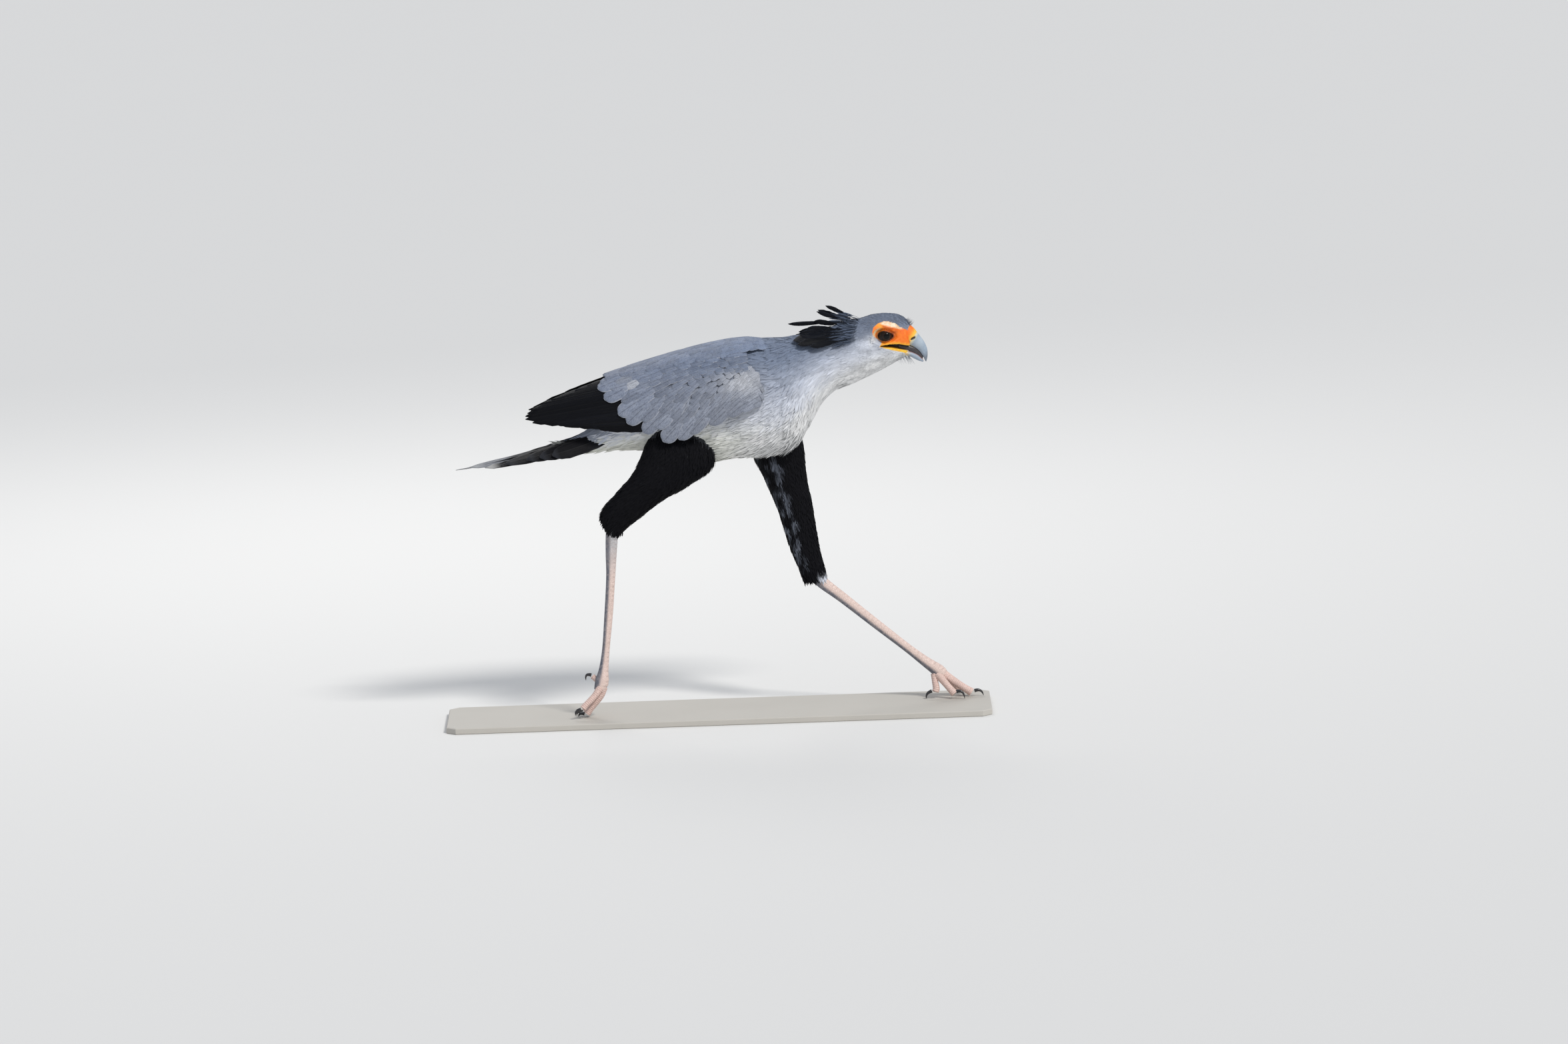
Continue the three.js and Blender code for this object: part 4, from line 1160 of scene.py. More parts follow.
def cloak_at(x, turn):
    """Points of the wings' outer surface at x and a turn, the ways out of it, and the arc for each radian."""
    def at(px, pt):
        rows = np.asarray(CLOAK, float)
        index = np.interp(px, rows[:, 0], np.arange(len(rows)))
        for _ in range(6):
            index = np.clip(index + (px - spline(rows, index)[:, 0]) / 60, 0, len(rows) - 1)
        _, top, low, wide = spline(rows, index).T
        return np.stack([px, np.sin(pt) * wide, (top + low) / 2 + np.cos(pt) * (top - low) / 2], axis=1)

    x = np.atleast_1d(np.asarray(x, float))
    turn = np.atleast_1d(np.asarray(turn, float))
    p = at(x, turn)
    along = at(x + 1, turn) - at(x - 1, turn)
    around = at(x, turn + 0.01) - at(x, turn - 0.01)
    out = np.cross(along, around)
    out /= np.linalg.norm(out, axis=1)[:, None]
    return p, out, np.linalg.norm(around, axis=1) / 0.02


def turn_at(x, z):
    """The turn from the cloak's top at which its surface is at height z."""
    rows = np.asarray(CLOAK, float)
    index = np.interp(x, rows[:, 0], np.arange(len(rows)))
    _, top, low, _ = spline(rows, index).T
    return np.arccos(np.clip((z - (top + low) / 2) / ((top - low) / 2), -1, 0.985))


class Vanes:
    """Gathers thin closed vanes, each with its blade UV, unwrap patch and tint, into one object."""

    def __init__(self, name):
        self.name = name
        self.points, self.faces, self.marks, self.spots, self.tints = [], [], [], [], []
        self.count = 0

    def add(self, top, low, tints, spot):
        """top and low are sheets of points, rows along the feather and columns across it."""
        rows, lanes, _ = top.shape
        layer = rows * lanes
        first = self.count
        grid = np.arange(layer).reshape(rows, lanes)
        a, b, c, d = grid[:-1, :-1], grid[1:, :-1], grid[1:, 1:], grid[:-1, 1:]
        sheet = np.stack([a, b, c, d], axis=2).reshape(-1, 4)
        under = np.stack([a, d, c, b], axis=2).reshape(-1, 4) + layer
        rim = np.concatenate([grid[:, 0], grid[-1, 1:], grid[-2::-1, -1], grid[0, -2:0:-1]])
        after = np.roll(rim, -1)
        wall = np.stack([after, rim, rim + layer, after + layer], axis=1)
        self.faces.append(np.concatenate([sheet, under, wall]) + first)
        self.points += [top.reshape(-1, 3), low.reshape(-1, 3)]
        along = np.repeat(np.linspace(0, 1, rows), lanes)
        across = np.tile(np.linspace(0, 1, lanes), rows)
        mark = np.stack([across, along], axis=1)
        self.marks += [mark, mark]
        self.spots += [mark * PATCH + spot, mark * PATCH + spot]
        self.tints += [tints.reshape(-1, 3), tints.reshape(-1, 3)]
        self.count += 2 * layer

    def make(self, material):
        faces = np.concatenate(self.faces)
        made = new_object(self.name, np.concatenate(self.points), faces)
        loops = np.empty(len(made.data.loops), np.int32)
        made.data.loops.foreach_get("vertex_index", loops)
        for name, values in (("blade", self.marks), ("OFBake", self.spots)):
            layer = made.data.uv_layers.new(name=name)
            layer.data.foreach_set("uv", np.concatenate(values)[loops].ravel())
        set_values(made, "tint", np.concatenate(self.tints))
        made.data.materials.append(material)
        bm = bmesh.new()
        bm.from_mesh(made.data)
        bmesh.ops.recalc_face_normals(bm, faces=bm.faces)
        bm.to_mesh(made.data)
        bm.free()
        return made


def lay_vane(vanes, root, tip, width, blade, sunk, raised, side, tints, draw, bow, ragged):
    """A feather that lies on the cloak's one side from root to tip, both x and z."""
    t = BLADE_PLACES
    slope = math.atan2(tip[1] - root[1], tip[0] - root[0])
    bend = bow * 4 * t * (1 - t)
    x = root[0] + (tip[0] - root[0]) * t - math.sin(slope) * bend
    z = root[1] + (tip[1] - root[1]) * t + math.cos(slope) * bend
    cloak_vane(vanes, x, turn_at(x, z), slope, width, blade, sunk, raised, side, tints, draw, ragged)


def cloak_vane(vanes, x, turns, slope, width, blade, sunk, raised, side, tints, draw, ragged):
    """A vane along points of the cloak: sunk at its root, raised at its tip, arched and ragged."""
    share = np.interp(BLADE_PLACES, *zip(*blade))
    _, _, reach = cloak_at(x, turns)
    near, far = (1 + ragged * draw.uniform(-1, 1, (BLADE_STEPS, 1)) for _ in range(2))
    across = np.where(LANES < 0, near, far) * LANES * (width / 2) * share[:, None]
    lift = sunk + (raised - sunk) * np.minimum(1, BLADE_PLACES / 0.4)
    px = x[:, None] - math.sin(slope) * across
    pt = turns[:, None] - math.cos(slope) * across / reach[:, None]
    if side:
        pt = np.maximum(0.10, pt)
    p, out, _ = cloak_at(px.ravel(), pt.ravel())
    height = lift[:, None] + (1 - LANES**2) * width * 0.045 + LANES * 0.55 * share[:, None]
    ridge = (np.abs(LANES) < 0.01) * 0.2
    top = p + out * (height + ridge).reshape(-1, 1)
    low = p + out * (height - 0.5).reshape(-1, 1)
    if side:
        for sheet, least in ((top, 1.6), (low, 0.8)):
            sheet[:, 1] = np.maximum(sheet[:, 1], least) * side
    shape = (BLADE_STEPS, len(LANES), 3)
    spot = np.array([0.05 + 0.4 * (x[0] + 400) / 600 + (0.45 if side > 0 else 0), 0.5 + 0.14 * turns[0]])
    vanes.add(top.reshape(shape), low.reshape(shape), tints, spot)


def plain_tints(colour, draw, spread):
    """A feather's own tone of one colour, for all its points."""
    return np.tile(np.asarray(colour) * (1 + either_way(draw, spread)), (BLADE_STEPS, len(LANES), 1))


def covert_colour(share, tip):
    """Grey of a covert: bluish near the back, pale on the shoulder as a painted sheen, one worn nearly white at
    the rear.
    """
    base = blend(np.array((0.185, 0.215, 0.285)), (0.25, 0.275, 0.335), smooth(0.25, 0.7, share))
    # painted sheen: coverts near the shoulder made pale
    base = blend(base, (0.60, 0.62, 0.66), near_spot(*tip, (62, 676), (42, 26)) * 0.8)
    base = blend(base, (0.58, 0.60, 0.64), near_spot(*tip, WORN_COVERT, (12, 11)) * 0.9)
    return blend(base, SLATE, (1 - smooth(0.08, 0.36, share)) * 0.7)


def drawn_in(x, z, reach):
    """A point of the covert edge, drawn in toward the shoulder."""
    return SHOULDER[0] + (x - SHOULDER[0]) * reach, SHOULDER[1] + (z - SHOULDER[1]) * reach


def make_wing(side):
    """Flight feathers and tiers of coverts over a plain core."""
    draw = np.random.default_rng(21 if side > 0 else 12)
    label = "left" if side > 0 else "right"
    flight = Vanes(f"flight_feathers_{label}")
    for number, (tx, tz, rx, rz, width) in enumerate(spline(FLIGHT, rows_of(FLIGHT, FLIGHT_COUNT))):
        lift = -2.4 + 0.09 * number + either_way(draw, 0.3)
        tints = plain_tints((0.005, 0.0055, 0.008), draw, 0.35)
        tip = (tx + either_way(draw, 5), tz + either_way(draw))
        bow = either_way(draw, 2)
        lay_vane(flight, (rx, rz), tip, width * 0.84, LONG_BLADE, -4.0, lift, side, tints, draw, bow, 0.13)
    coverts = Vanes(f"coverts_{label}")
    last = len(COVERT_EDGE) - 1
    for row, (reach, count, length, width) in enumerate(COVERT_ROWS):
        for i in range(count):
            share = np.clip((i + 0.5 * (row % 2) + either_way(draw, 0.25)) / (count - 0.5), 0, 1)
            lean = np.interp(share * last, np.arange(last + 1), COVERT_LEAN) + either_way(draw, 3)
            lean = math.radians(lean)
            x, z = drawn_in(*spline(COVERT_EDGE, share * last)[0], reach)
            tip = (x + either_way(draw, 1.5), z + either_way(draw, 1.5))
            size = length * (1 + either_way(draw, 0.08))
            size = max(9, min(size, (WING_FRONT - tip[0]) / math.cos(lean)))
            root = (tip[0] + size * math.cos(lean), tip[1] + size * math.sin(lean))
            tints = plain_tints(covert_colour(share, tip), draw, 0.16)
            broad = width * (1 + either_way(draw, 0.07))
            raised = 1.2 + either_way(draw, 0.25)
            bow = either_way(draw, 1.2)
            lay_vane(coverts, root, tip, broad, ROUND_BLADE, -2.6, raised, side, tints, draw, bow, 0.035)
    black = vane_material(f"flight_{label}", 0.2, (0.03, 0.032, 0.04), 0.5, QUILL, 0.1, 0.0)
    grey = vane_material(f"coverts_{label}", 0.62, (0.60, 0.63, 0.70), 0.5, (0.05, 0.055, 0.07), 0.2)
    return [flight.make(black), coverts.make(grey), wing_core(side, label)]


def wing_core(side, label):
    """The flesh of the folded wing under its coverts, a closed shell just inside the cloak."""
    rows, lanes = 60, 26
    edge = np.asarray([drawn_in(x, z, 0.9) for x, z in COVERT_EDGE])
    middle = np.array(SHOULDER, float)
    outline = spline(edge, rows_of(edge, rows))
    flat = middle + (outline[:, None] - middle) * np.linspace(0, 1, lanes)[:, None]
    x, z = flat.reshape(-1, 2).T
    p, out, _ = cloak_at(x, turn_at(x, z))
    sheets = []
    for depth in (-2.4, -16.0):
        sheet = p + out * depth
        sheet[:, 1] = np.maximum(sheet[:, 1], 1.0) * side
        sheets.append(sheet.reshape(rows, lanes, 3))
    core = Vanes(f"wing_flesh_{label}")
    core.add(*sheets, np.tile(ASH * 0.8, (rows, lanes, 1)), np.array([0.5, 0.5]))
    return core.make(vane_material(f"wing_down_{label}", 0.0, (0.5, 0.5, 0.5), 0.35, (0.2, 0.2, 0.22), 0.2))


def make_mantle():
    """Rounded slate feathers over the middle of the back, between and upon the wings."""
    draw = np.random.default_rng(31)
    vanes = Vanes("mantle_feathers")
    tip_x, row = MANTLE_REAR, 0
    while tip_x < MANTLE_FRONT:
        share = (tip_x - MANTLE_REAR) / (MANTLE_FRONT - MANTLE_REAR)
        width = 27 - 12 * share
        length = 50 - 24 * share
        spread = np.interp(share, (0, 0.3, 0.7, 1), (0.34, 0.52, 0.62, 0.5))
        colour = blend(SLATE * 1.2, (0.17, 0.20, 0.27), 1 - share)
        _, _, reach = cloak_at(tip_x, 0.0)
        count = max(3, int(2 * spread * reach[0] / (width * 0.6)))
        for i in range(count + 1):
            turn = spread * (2 * (i + 0.5 * (row % 2)) / (count + 0.5) - 1)
            x = tip_x + either_way(draw, 2.5) + length * (1 - BLADE_PLACES)
            turns = turn * (0.84 + 0.16 * BLADE_PLACES) + either_way(draw, 0.01)
            slope = math.atan2(-reach[0] * (turns[-1] - turns[0]), -length)
            lift = 1.9 - 1.6 * smooth(0.75, 1, share) + either_way(draw, 0.35)
            tints = plain_tints(colour, draw, 0.16)
            cloak_vane(vanes, x, turns, slope, width, ROUND_BLADE, -3.0, lift, 0, tints, draw, 0.04)
        tip_x += 15 - 6.5 * share
        row += 1
    return vanes.make(vane_material("mantle_vane", 0.4, (0.42, 0.46, 0.54), 0.2, (0.06, 0.065, 0.08), 0.25))


def tail_vane(vanes, root, tip, across, sag, tints, draw):
    """A tail feather from root to tip, its blade across the given direction, sagging along its length."""
    t = BLADE_PLACES
    way = (tip - root) / np.linalg.norm(tip - root)
    side = across - way * (across @ way)
    side /= np.linalg.norm(side)
    face = np.cross(side, way)
    face *= -1 if face[2] < 0 else 1
    share = np.interp(t, *zip(*LONG_BLADE)) * (1 + 0.05 * draw.uniform(-1, 1, BLADE_STEPS))
    middle = root + (tip - root) * t[:, None] - face * (sag * 4 * t * (1 - t))[:, None]
    sheet = middle[:, None] + side * ((TAIL_WIDTH / 2) * share[:, None] * LANES)[..., None]
    arch = (1 - LANES**2) * (TAIL_WIDTH * 0.04 * share)[:, None] + (np.abs(LANES) < 0.01) * 0.3
    top = sheet + face * arch[..., None]
    low = sheet + face * (arch - 0.6)[..., None]
    spot = np.array([0.5 + 0.4 * root[0] / 500, 0.5 + 0.4 * root[1] / 120])
    vanes.add(top, low, tints, spot)


def tail_tints(number, draw):
    """A tail feather: dark grey root, black beyond it, and a pale tip on the two longest pairs."""
    grey = np.array((0.012, 0.013, 0.016)) * (1 + either_way(draw, 0.1))
    kinds = [(0.62, (0.42, 0.43, 0.44)), (0.25, (0.55, 0.55, 0.54)), (0.25, grey * 2.2)]
    start, tip = kinds[min(number, 2)]
    colour = blend(grey, BLACK, smooth(start, start + 0.12, BLADE_PLACES))
    if number == 0:
        colour = blend(colour, (0.20, 0.21, 0.23), smooth(0.66, 0.74, BLADE_PLACES))
    colour = blend(colour, tip, smooth(0.90, 0.96, BLADE_PLACES))
    return np.repeat(colour[:, None], len(LANES), axis=1)


def make_tail():
    """The fan of the tail, its long middle pair on top."""
    draw = np.random.default_rng(5)
    vanes = Vanes("tail_feathers")
    slope = math.radians(TAIL_SLOPE)
    for number, reach in enumerate(TAIL_LENGTHS):
        for side in (-1, 1):
            length = reach - (28 if number == 0 and side < 0 else 0) + either_way(draw, 4) * (number > 0)
            splay = math.radians(side * (1.2 + 2.1 * number))
            roll = math.radians(side * (14 + 8 * number))
            root = np.array([
                TAIL_ROOT[0] + 3 * number,
                side * (4 + 4.5 * number),
                TAIL_ROOT[2] - 2.2 * number,
            ])
            tip = root + np.array([
                -length * math.cos(slope) * math.cos(splay),
                length * math.sin(splay),
                -length * math.sin(slope) + (5 if number == 0 else 0),
            ])
            across = np.array((0, math.cos(roll), -math.sin(roll)))
            sag = TAIL_SAG * reach / TAIL_LENGTHS[0]
            tail_vane(vanes, root, tip, across, sag, tail_tints(number, draw), draw)
    return vanes.make(vane_material("tail_vane", 0.06, (0.3, 0.3, 0.3), 0.5, (0.03, 0.03, 0.03), 0.12, 0.0))


def trunk_side(x, z):
    """Half the trunk's width at x and height z, or 0 above and below it."""
    rows = np.asarray(TRUNK, float)
    index = np.interp(x, rows[:, 0], np.arange(len(rows)))
    _, top, _, low, _, wide = spline(rows, index).T
    level = (z - (top + low) / 2) / ((top - low) / 2)
    return np.where(np.abs(level) < 1, wide * np.sqrt(np.maximum(1 - level**2, 0)), 0)


def crest_vane(vanes, row, side, tints, draw):
    """A crest feather: a bare quill sunk in the nape, then a loose blade that clears the side of the neck."""
    rx, rz, tx, tz, half, stand = row
    t = np.linspace(0, 1, BLADE_STEPS)
    way = np.array((tx - rx, tz - rz)) / math.hypot(tx - rx, tz - rz)
    share = np.interp(t, *zip(*CREST_BLADE)) * (1 + 0.08 * draw.uniform(-1, 1, BLADE_STEPS))
    bend = either_way(draw, 2.5) * 4 * t * (1 - t)
    x = (rx + (tx - rx) * t - way[1] * bend)[:, None] + way[1] * LANES * (share * half)[:, None]
    z = (rz + (tz - rz) * t + way[0] * bend)[:, None] - way[0] * LANES * (share * half)[:, None]
    clear = np.where(t < 0.1, -3, 1.2 + stand * t)[:, None] - LANES * 1.1 * share[:, None]
    y = np.maximum((2 + stand * t)[:, None], trunk_side(x.ravel(), z.ravel()).reshape(x.shape) + clear)
    y = y + (1 - LANES**2) * 0.5 * share[:, None]
    top = np.stack([x, side * (y + 0.7), z], axis=2)
    low = np.stack([x, side * y, z], axis=2)
    spot = np.array([0.3 + 0.2 * (side > 0), 0.3 + 0.4 * (rz - 740) / 60])
    vanes.add(top, low, tints, spot)


def make_crest():
    """Black club-shaped feathers off the nape, with greyer plumes at their roots."""
    draw = np.random.default_rng(9)
    vanes = Vanes("crest_feathers")
    for side in (-1, 1):
        for row in CREST:
            jitter = np.array([0, 0, either_way(draw, 3), either_way(draw, 2), 0, 0]) * (side > 0)
            tints = plain_tints((0.004, 0.005, 0.008), draw, 0.4)
            crest_vane(vanes, np.array(row, float) + jitter, side, tints, draw)
        for i in range(NAPE_PLUMES):
            share = i / (NAPE_PLUMES - 1)
            root = (304 - 8 * share + either_way(draw, 3), 786 - 38 * share)
            lean = math.radians(16 - 32 * share + either_way(draw, 7))
            reach = 44 + either_way(draw, 20)
            tip = (root[0] - reach * math.cos(lean), root[1] + reach * math.sin(lean))
            tints = plain_tints(SLATE * draw.uniform(0.15, 0.9), draw, 0.2)
            crest_vane(vanes, (*root, *tip, 1.25, 2.0), side, tints, draw)
    return vanes.make(vane_material("crest_vane", 0.16, (0.13, 0.15, 0.21), 0.6, QUILL, 0.12, 0.0))


def past_cere(x, z):
    """How far before the cere's front border a point of the upper bill lies; less than 0 is behind it."""
    return (x - 401.8) * 0.82 + (731.7 - z) * 0.575


def bill_tints(p):
    """Horn colours: yellow cere and mouth edge, whitish at the cere's border, blue-grey to a darker tip."""
    ahead = past_cere(p[:, 0], p[:, 2])
    colour = blend(FACE_ORANGE, (0.92, 0.52, 0.05), smooth(-14, -5, ahead))
    colour = blend(colour, (0.62, 0.60, 0.40), smooth(-3.0, -0.5, ahead))
    colour = blend(colour, HORN, smooth(0.5, 5, ahead))
    colour = blend(colour, (0.45, 0.52, 0.58), near_line(ahead, 14, 9) * 0.6)
    return blend(colour, (0.12, 0.15, 0.19), smooth(32, 44, ahead))


def upper_bill(horn):
    """The upper bill with its cere, nostrils and sharp cutting edge."""
    rings = ring_points(UPPER_BILL, rows_of(UPPER_BILL, 90), 72)
    p = rings.reshape(-1, 3)
    x, y, z = p.T
    low = np.interp(x, *zip(*MOUTH_TOP, *BILL_EDGE))
    lip = smooth(4.5, 0.0, z - low) * (z > low - 3)
    p[:, 1] = y * (1 + 0.10 * lip)
    p[:, 2] = np.where(z < low, low - 0.2 * (low - z), z)
    along = (x - 408.5) * 0.848 + (z - 743.5) * 0.53
    over = -(x - 408.5) * 0.53 + (z - 743.5) * 0.848
    nostril = np.exp(-((along / 6.0) ** 2 + (over / 2.3) ** 2) ** 2)
    rim = np.exp(-((along / 7.6) ** 2 + (over / 4.0) ** 2 - 1) ** 2 * 4)
    p[:, 1] -= np.sign(y) * 3.6 * nostril * (np.abs(y) > 4)
    p[:, 1] += np.sign(y) * 0.5 * rim * (np.abs(y) > 4)
    # painted shade: the nostril's hollow coloured near black
    tint = blend(bill_tints(p), (0.02, 0.01, 0.008), smooth(0.2, 0.7, nostril) * (np.abs(y) > 4))
    tint = blend(tint, (0.72, 0.55, 0.14), lip * (x < 410) * 0.6)
    made = lofted("bill_horn_upper", p.reshape(rings.shape))
    for name in ("tint", "flesh"):
        set_values(made, name, capped(tint))
    set_values(made, "face", np.ones(len(tint) + 2))
    made.data.materials.append(horn)
    made.data.materials.append(bpy.data.materials["bare_skin"])
    for face in made.data.polygons:
        middle = face.center / MM
        face.material_index = int(past_cere(middle.x, middle.z) < -1.2)
    return made


def lower_bill(horn):
    """The lower bill, yellow at its root and reddish inside."""
    count, sides = 60, 48
    rings = ring_points(LOWER_BILL, rows_of(LOWER_BILL, count), sides)
    x = rings[..., 0].ravel()
    tint = blend(np.array((0.85, 0.52, 0.06)), (0.27, 0.34, 0.42), smooth(386, 406, x))
    up = np.tile(np.cos(TAU * np.arange(sides) / sides), count)
    tint = blend(tint, (0.30, 0.08, 0.06), smooth(0.6, 0.9, up))
    made = lofted("bill_horn_lower", rings)
    set_values(made, "tint", capped(tint))
    made.data.materials.append(horn)
    return made


def make_bill():
    """Both halves of the bill and the lining of the mouth, near black as painted shade."""
    horn = horn_material()
    upper, lower = upper_bill(horn), lower_bill(horn)
    lining = lofted("mouth_lining", ring_points(MOUTH_LINING, rows_of(MOUTH_LINING, 30), 24))
    # the lining is coloured near black as painted shade
    lining.data.materials.append(bristle_material("mouth_dark", MOUTH_SHADE, 0.35))
    return [upper, lower, lining]


def make_eyes():
    """The two eyeballs, each with a bulging cornea."""
    wet = eye_material()
    pieces = []
    for side, label in ((-1, "right"), (1, "left")):
        bm = bmesh.new()
        bmesh.ops.create_uvsphere(bm, u_segments=64, v_segments=40, radius=EYE_RADIUS * MM)
        cornea = EYE_RADIUS * MM * 0.78
        rings = [math.hypot(v.co.x, v.co.y) / cornea if v.co.z > 0 else 2 for v in bm.verts]
        for v, ring in zip(bm.verts, rings):
            v.co.z += 1.1 * MM * float(1 - smooth(0.5, 0.95, ring))
        for f in bm.faces:
            f.smooth = True
        look = Vector((0.14, side, 0.02)).normalized()
        turn = Vector((0, 0, 1)).rotation_difference(look).to_matrix().to_4x4()
        centre = Vector((EYE.x, side * EYE.y, EYE.z)) * MM
        bmesh.ops.transform(bm, matrix=Matrix.Translation(centre) @ turn, verts=bm.verts)
        mesh = bpy.data.meshes.new(f"eyeball_{label}")
        bm.to_mesh(mesh)
        bm.free()
        ball = place(mesh.name, mesh)
        set_values(ball, "ring", np.array(rings))
        ball.data.materials.append(wet)
        pieces.append(ball)
    return pieces


def bristle(stacks, root, way, length, droop, radius):
    """Adds the rings of a tapering three-sided bristle that curves under its droop."""
    root, way = np.asarray(root, float), np.asarray(way, float)
    way = way / np.linalg.norm(way)
    side = np.cross(way, (0, 0, 1.0))
    side /= max(np.linalg.norm(side), 1e-6)
    up = np.cross(side, way)
    turns = (0, TAU / 3, 2 * TAU / 3)
    rings = []
    for t in np.linspace(0, 1, 7):
        middle = root + way * length * t + np.array((0, 0, -droop * length * t * t))
        r = radius * (1 - 0.85 * t)
        rings.append([middle + side * r * math.cos(a) + up * r * math.sin(a) for a in turns])
    stacks.append(np.array(rings))


def bristle_object(name, stacks, material):
    """Bristles of one kind as one object, each closed at both ends."""
    points, faces, first = [], [], 0
    for rings in stacks:
        count, sides, _ = rings.shape
        last = first + (count - 1) * sides
        points.append(rings.reshape(-1, 3))
        faces.append(loft_faces(count, sides, first))
        ends = [(first, first + 2, first + 1, first + 1), (last, last + 1, last + 2, last + 2)]
        faces.append(np.array(ends))
        first += count * sides
    bm = bmesh.new()
    verts = [bm.verts.new(Vector(q) * MM) for q in np.concatenate(points)]
    for f in np.concatenate(faces):
        bm.faces.new([verts[v] for v in dict.fromkeys(f.tolist())]).smooth = True
    bmesh.ops.recalc_face_normals(bm, faces=bm.faces)
    made = place_built(name, bm)
    made.data.materials.append(material)
    return made


def make_bristles():
    """Lashes on the upper lids, bristles over the bill's base, and the loose hairs under the chin."""
    draw = np.random.default_rng(3)
    lashes, chin, brow = [], [], []
    wide, high = LID_OPENING[:2]
    for side in (-1, 1):
        for share in np.linspace(0.08, 0.92, 26):
            turn = math.pi * share
            u, v = wide * 1.06 * math.cos(turn), high * 1.1 * math.sin(turn)
            y = EYE.y + math.sqrt(max(EYE_RADIUS**2 - u * u - v * v, 4)) + 1.5
            way = (0.35 * math.cos(turn) + 0.25, side, 0.75 * math.sin(turn))
            bristle(lashes, (EYE.x + u, side * y, EYE.z + v), way, 7 + 3.5 * draw.uniform(), 0.25, 0.24)
        for _ in range(34):
            x = 393 + 11 * draw.uniform()
            z = 783 - (x - 387) * 0.82 - 2
            y = side * (1 + 8 * draw.uniform())
            way = (0.9 + 0.5 * draw.uniform(), side * 0.3 * draw.uniform(), 0.9)
            bristle(brow, (x, y, z), way, 6 + 7 * draw.uniform(), -0.1, 0.3)
        for _ in range(30):
            x = 372 + 30 * draw.uniform()
            z = np.interp(x, (372, 402), (712, 707))
            way = (0.25 + 0.5 * draw.uniform(), side * 0.15 * draw.uniform(), -1.0)
            y = side * 8 * draw.uniform()
            bristle(chin, (x, y, z), way, 10 + 14 * draw.uniform(), -0.12, 0.34)
    return [
        bristle_object("lashes", lashes, bristle_material("lash_black", (0.012, 0.012, 0.014), 0.4)),
        bristle_object("forehead_bristles", brow, bristle_material("bristle_slate", (0.12, 0.14, 0.18), 0.6)),
        bristle_object("chin_bristles", chin, bristle_material("bristle_pale", (0.45, 0.48, 0.52), 0.6)),
    ]


def lengths_along(points):
    """The length along a line of points, from its start to each of them."""
    return np.concatenate([[0], np.cumsum(np.linalg.norm(np.diff(points, axis=0), axis=1))])


def limb_rings(rows, count, sides, band):
    """Rings of a round limb along x, y, z and radius, drawn in by band at its seams, and the seams."""
    at = spline(rows, rows_of(rows, count))
    ahead = np.gradient(at[:, :3], axis=0)
    ahead /= np.linalg.norm(ahead, axis=1)[:, None]
    across = np.array((0, 1.0, 0)) - ahead * ahead[:, 1:2]
    across /= np.linalg.norm(across, axis=1)[:, None]
    up = np.cross(ahead, across)
    turn = TAU * (np.arange(sides) + 0.5) / sides
    seam = 1 - np.abs(np.sin(math.pi * lengths_along(at[:, :3]) / TOE_SCUTE)) ** 0.5
    radius = at[:, 3] * (1 - band * seam)
    rings = at[:, None, :3] + across[:, None] * (radius[:, None] * np.cos(turn))[..., None]
    rings = rings + up[:, None] * (radius[:, None] * np.sin(turn))[..., None]
    rings[..., 2] = np.maximum(rings[..., 2], SOLE)
    return rings, np.repeat(seam, sides)


def leg_tint(front, along):
    """Pinkish white before, slate behind, and bluish near the ankle."""
    pink = blend(np.array((0.36, 0.42, 0.46)), (0.74, 0.58, 0.52), smooth(0.0, 0.4, along))
    return blend(np.array((0.10, 0.12, 0.16)), pink, smooth(-0.55, 0.0, front))


def make_tarsus(label, tarsus, scales):
    """A tarsus with scutes down its front."""
    count, sides = 240, 40
    rings = ring_points(tarsus, rows_of(tarsus, count), sides)
    middle = rings.mean(axis=1, keepdims=True)
    path = lengths_along(rings.mean(axis=1))
    front = np.cos(TAU * np.arange(sides) / sides)
    seam = (1 - np.abs(np.sin(math.pi * path / TARSUS_SCUTE))[:, None] ** 0.4) * smooth(0.25, 0.7, front)
    made = lofted(f"tarsus_scales_{label}", middle + (rings - middle) * (1 - 0.07 * seam[..., None]))
    along = np.repeat(path / path[-1], sides) + (label == "left") * 0.3
    set_values(made, "tint", capped(leg_tint(np.tile(front, count), along)))
    set_values(made, "seam", capped(seam.ravel()))
    made.data.materials.append(scales)
    return made


def make_toes(label, foot, scales):
    """The toes of one foot with their scutes."""
    parts = []
    for digit, (toe, _) in foot.items():
        rings, seam = limb_rings(toe, 18 * len(toe), 26, 0.10)
        made = lofted(f"toe_{label}_{digit}", rings)
        set_values(made, "tint", capped(np.tile((0.74, 0.54, 0.48), (len(seam), 1))))
        set_values(made, "seam", capped(seam) * 0.8)
        made.data.materials.append(scales)
        parts.append(made)
    return joined(parts, f"toes_{label}")


def make_claw(name, start, end, bow, black):
    """A claw from start to end, bowed in x and z between them."""
    t = np.linspace(0, 1, 9)
    arch = 4 * t * (1 - t)
    rows = np.stack([
        start[0] + (end[0] - start[0]) * t + bow[0] * arch,
        start[1] + (end[1] - start[1]) * t,
        start[2] + (end[2] - start[2]) * t + bow[1] * arch,
        CLAW_RADIUS * (1 - t) ** 0.7 + 0.3,
    ], axis=1)
    rings, _ = limb_rings(rows, 40, 20, 0.0)
    made = lofted(name, rings)
    made.data.materials.append(black)
    return made


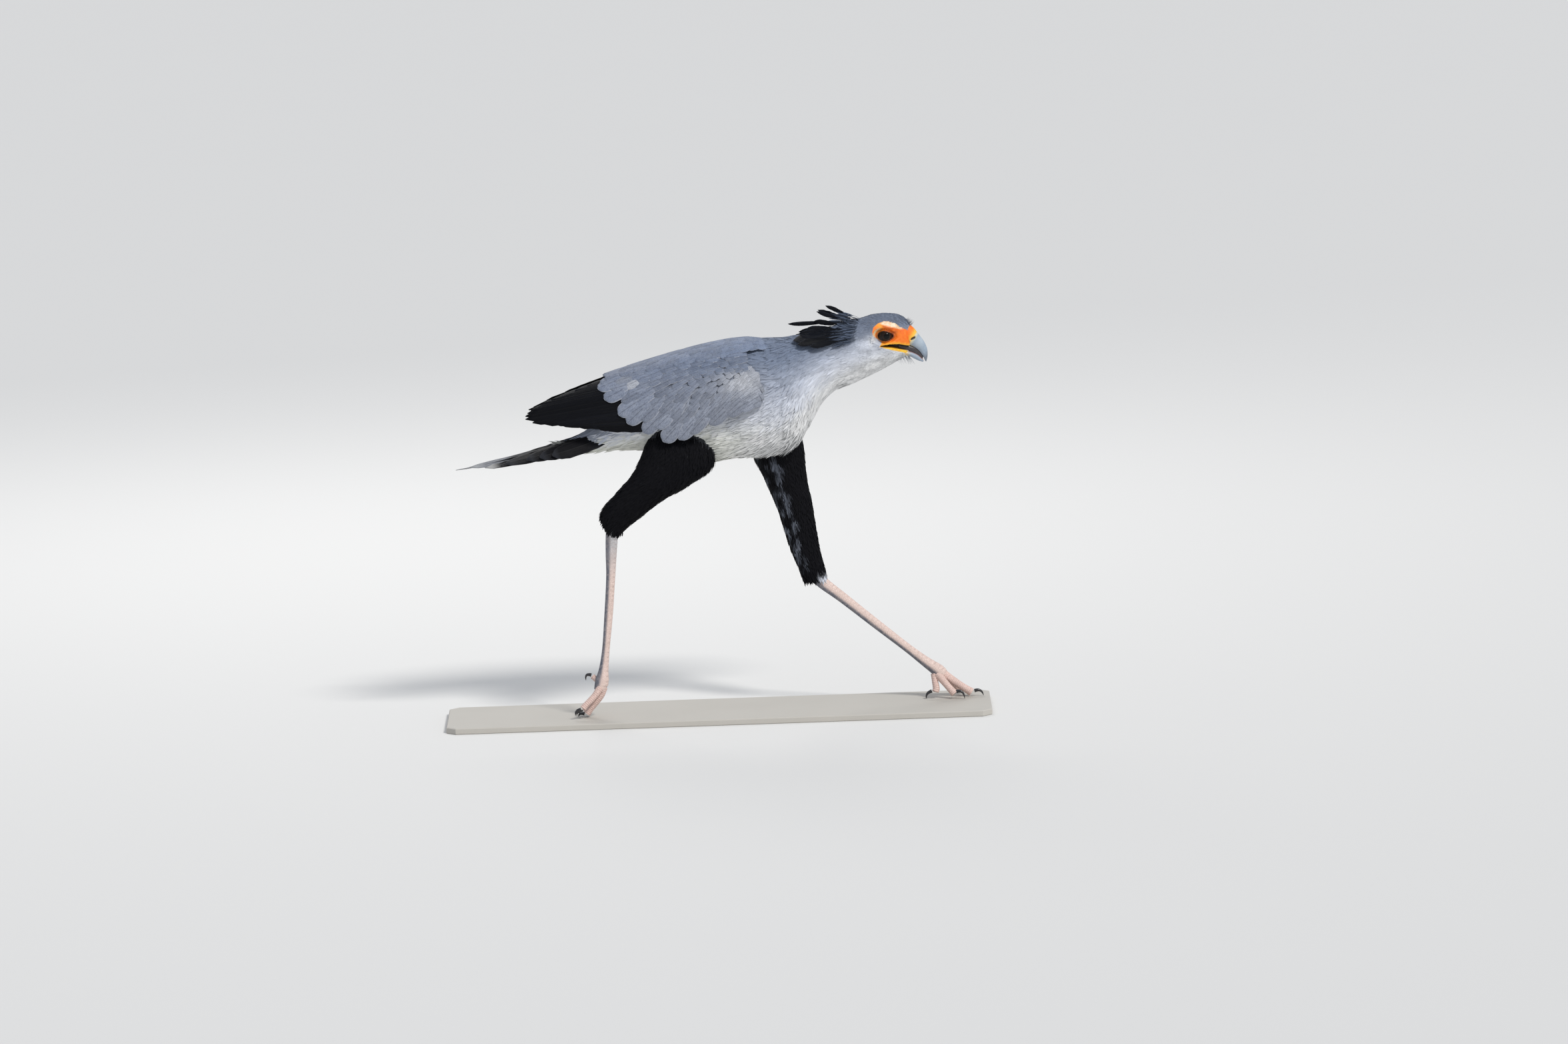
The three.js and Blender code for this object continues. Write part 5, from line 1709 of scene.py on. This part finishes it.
def make_studio():
    """Camera, pale floor and soft lights."""
    bpy.ops.mesh.primitive_plane_add(size=FLOOR_SIZE, location=(0, 0, 0))
    floor = bpy.context.object
    floor.name = "studio_floor"
    floor.data.materials.append(floor_material())
    camera = place("camera", bpy.data.cameras.new("camera"))
    camera.data.lens = LENS
    camera.data.sensor_width = SENSOR
    camera.data.clip_end = 400
    distance = VIEW_WIDTH * LENS / SENSOR
    tilt = math.radians(ELEVATION)
    middle = Vector((VIEW_MIDDLE[0] * MM, 0, VIEW_MIDDLE[1] * MM))
    camera.location = middle + Vector((0, -math.cos(tilt), math.sin(tilt))) * distance
    turn = Euler((math.pi / 2 - tilt, 0, 0)).to_matrix() @ Euler((0, 0, math.radians(-ROLL))).to_matrix()
    camera.rotation_euler = turn.to_euler()
    scene = bpy.context.scene
    scene.camera = camera
    scene.view_settings.view_transform = "Standard"
    world = bpy.data.worlds.new("studio")
    world.use_nodes = True
    light = world.node_tree.nodes["Background"].inputs
    light[0].default_value = rgba(SKY)
    light[1].default_value = 0.5
    scene.world = world
    for name, kind, at, size, power, colour in LIGHTS:
        lamp = place(name, bpy.data.lights.new(name, kind))
        lamp.data.energy = power
        lamp.data.color = colour
        if kind == "SUN":
            lamp.data.angle = size
        else:
            lamp.data.size = size
        lamp.location = at
        aim = Vector((0.0, 0.0, 0.5)) - lamp.location
        lamp.rotation_euler = aim.to_track_quat("-Z", "Y").to_euler()


def finish_piece(piece, slot, *nodes):
    """Says what a piece rides on and stands for; slot is not used."""
    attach(piece, "root")
    if nodes:
        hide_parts(*nodes)


make_studio()
skin = make_skin()
coat = make_coat(skin)
finish_piece(skin, "plumage", "torso", "neck", "head", "thigh_right", "thigh_left")
for piece in coat:
    finish_piece(piece, COAT_SLOTS.get(piece.name, "plumage"))
for side, label in ((-1, "right"), (1, "left")):
    for piece in make_wing(side):
        finish_piece(piece, "wing", f"wing_{label}")
finish_piece(make_mantle(), "wing")
finish_piece(make_tail(), "tail", "tail")
finish_piece(make_crest(), "thigh")
upper, lower, lining = make_bill()
finish_piece(upper, "horn", "bill_upper")
finish_piece(lower, "horn", "bill_lower")
finish_piece(lining, "throat")
for piece, label in zip(make_eyes(), ("right", "left")):
    finish_piece(piece, "eye", f"eye_{label}")
for piece in make_bristles():
    finish_piece(piece, "thigh")
scales, black = leg_material(), claw_material()
for label, tarsus, foot in (("right", NEAR_TARSUS, NEAR_FOOT), ("left", FAR_TARSUS, FAR_FOOT)):
    finish_piece(make_tarsus(label, tarsus, scales), "leg", f"tarsus_{label}")
    finish_piece(make_toes(label, foot, scales), "leg", f"foot_{label}")
    for digit, (_, claw) in foot.items():
        piece = make_claw(f"claw_horn_{label}_{digit}", *claw, black)
        finish_piece(piece, "claw", f"claw_{label}_{digit}")
base = frame["nodes"]["stand_base"]
base.data.materials.clear()
base.data.materials.append(base_material())
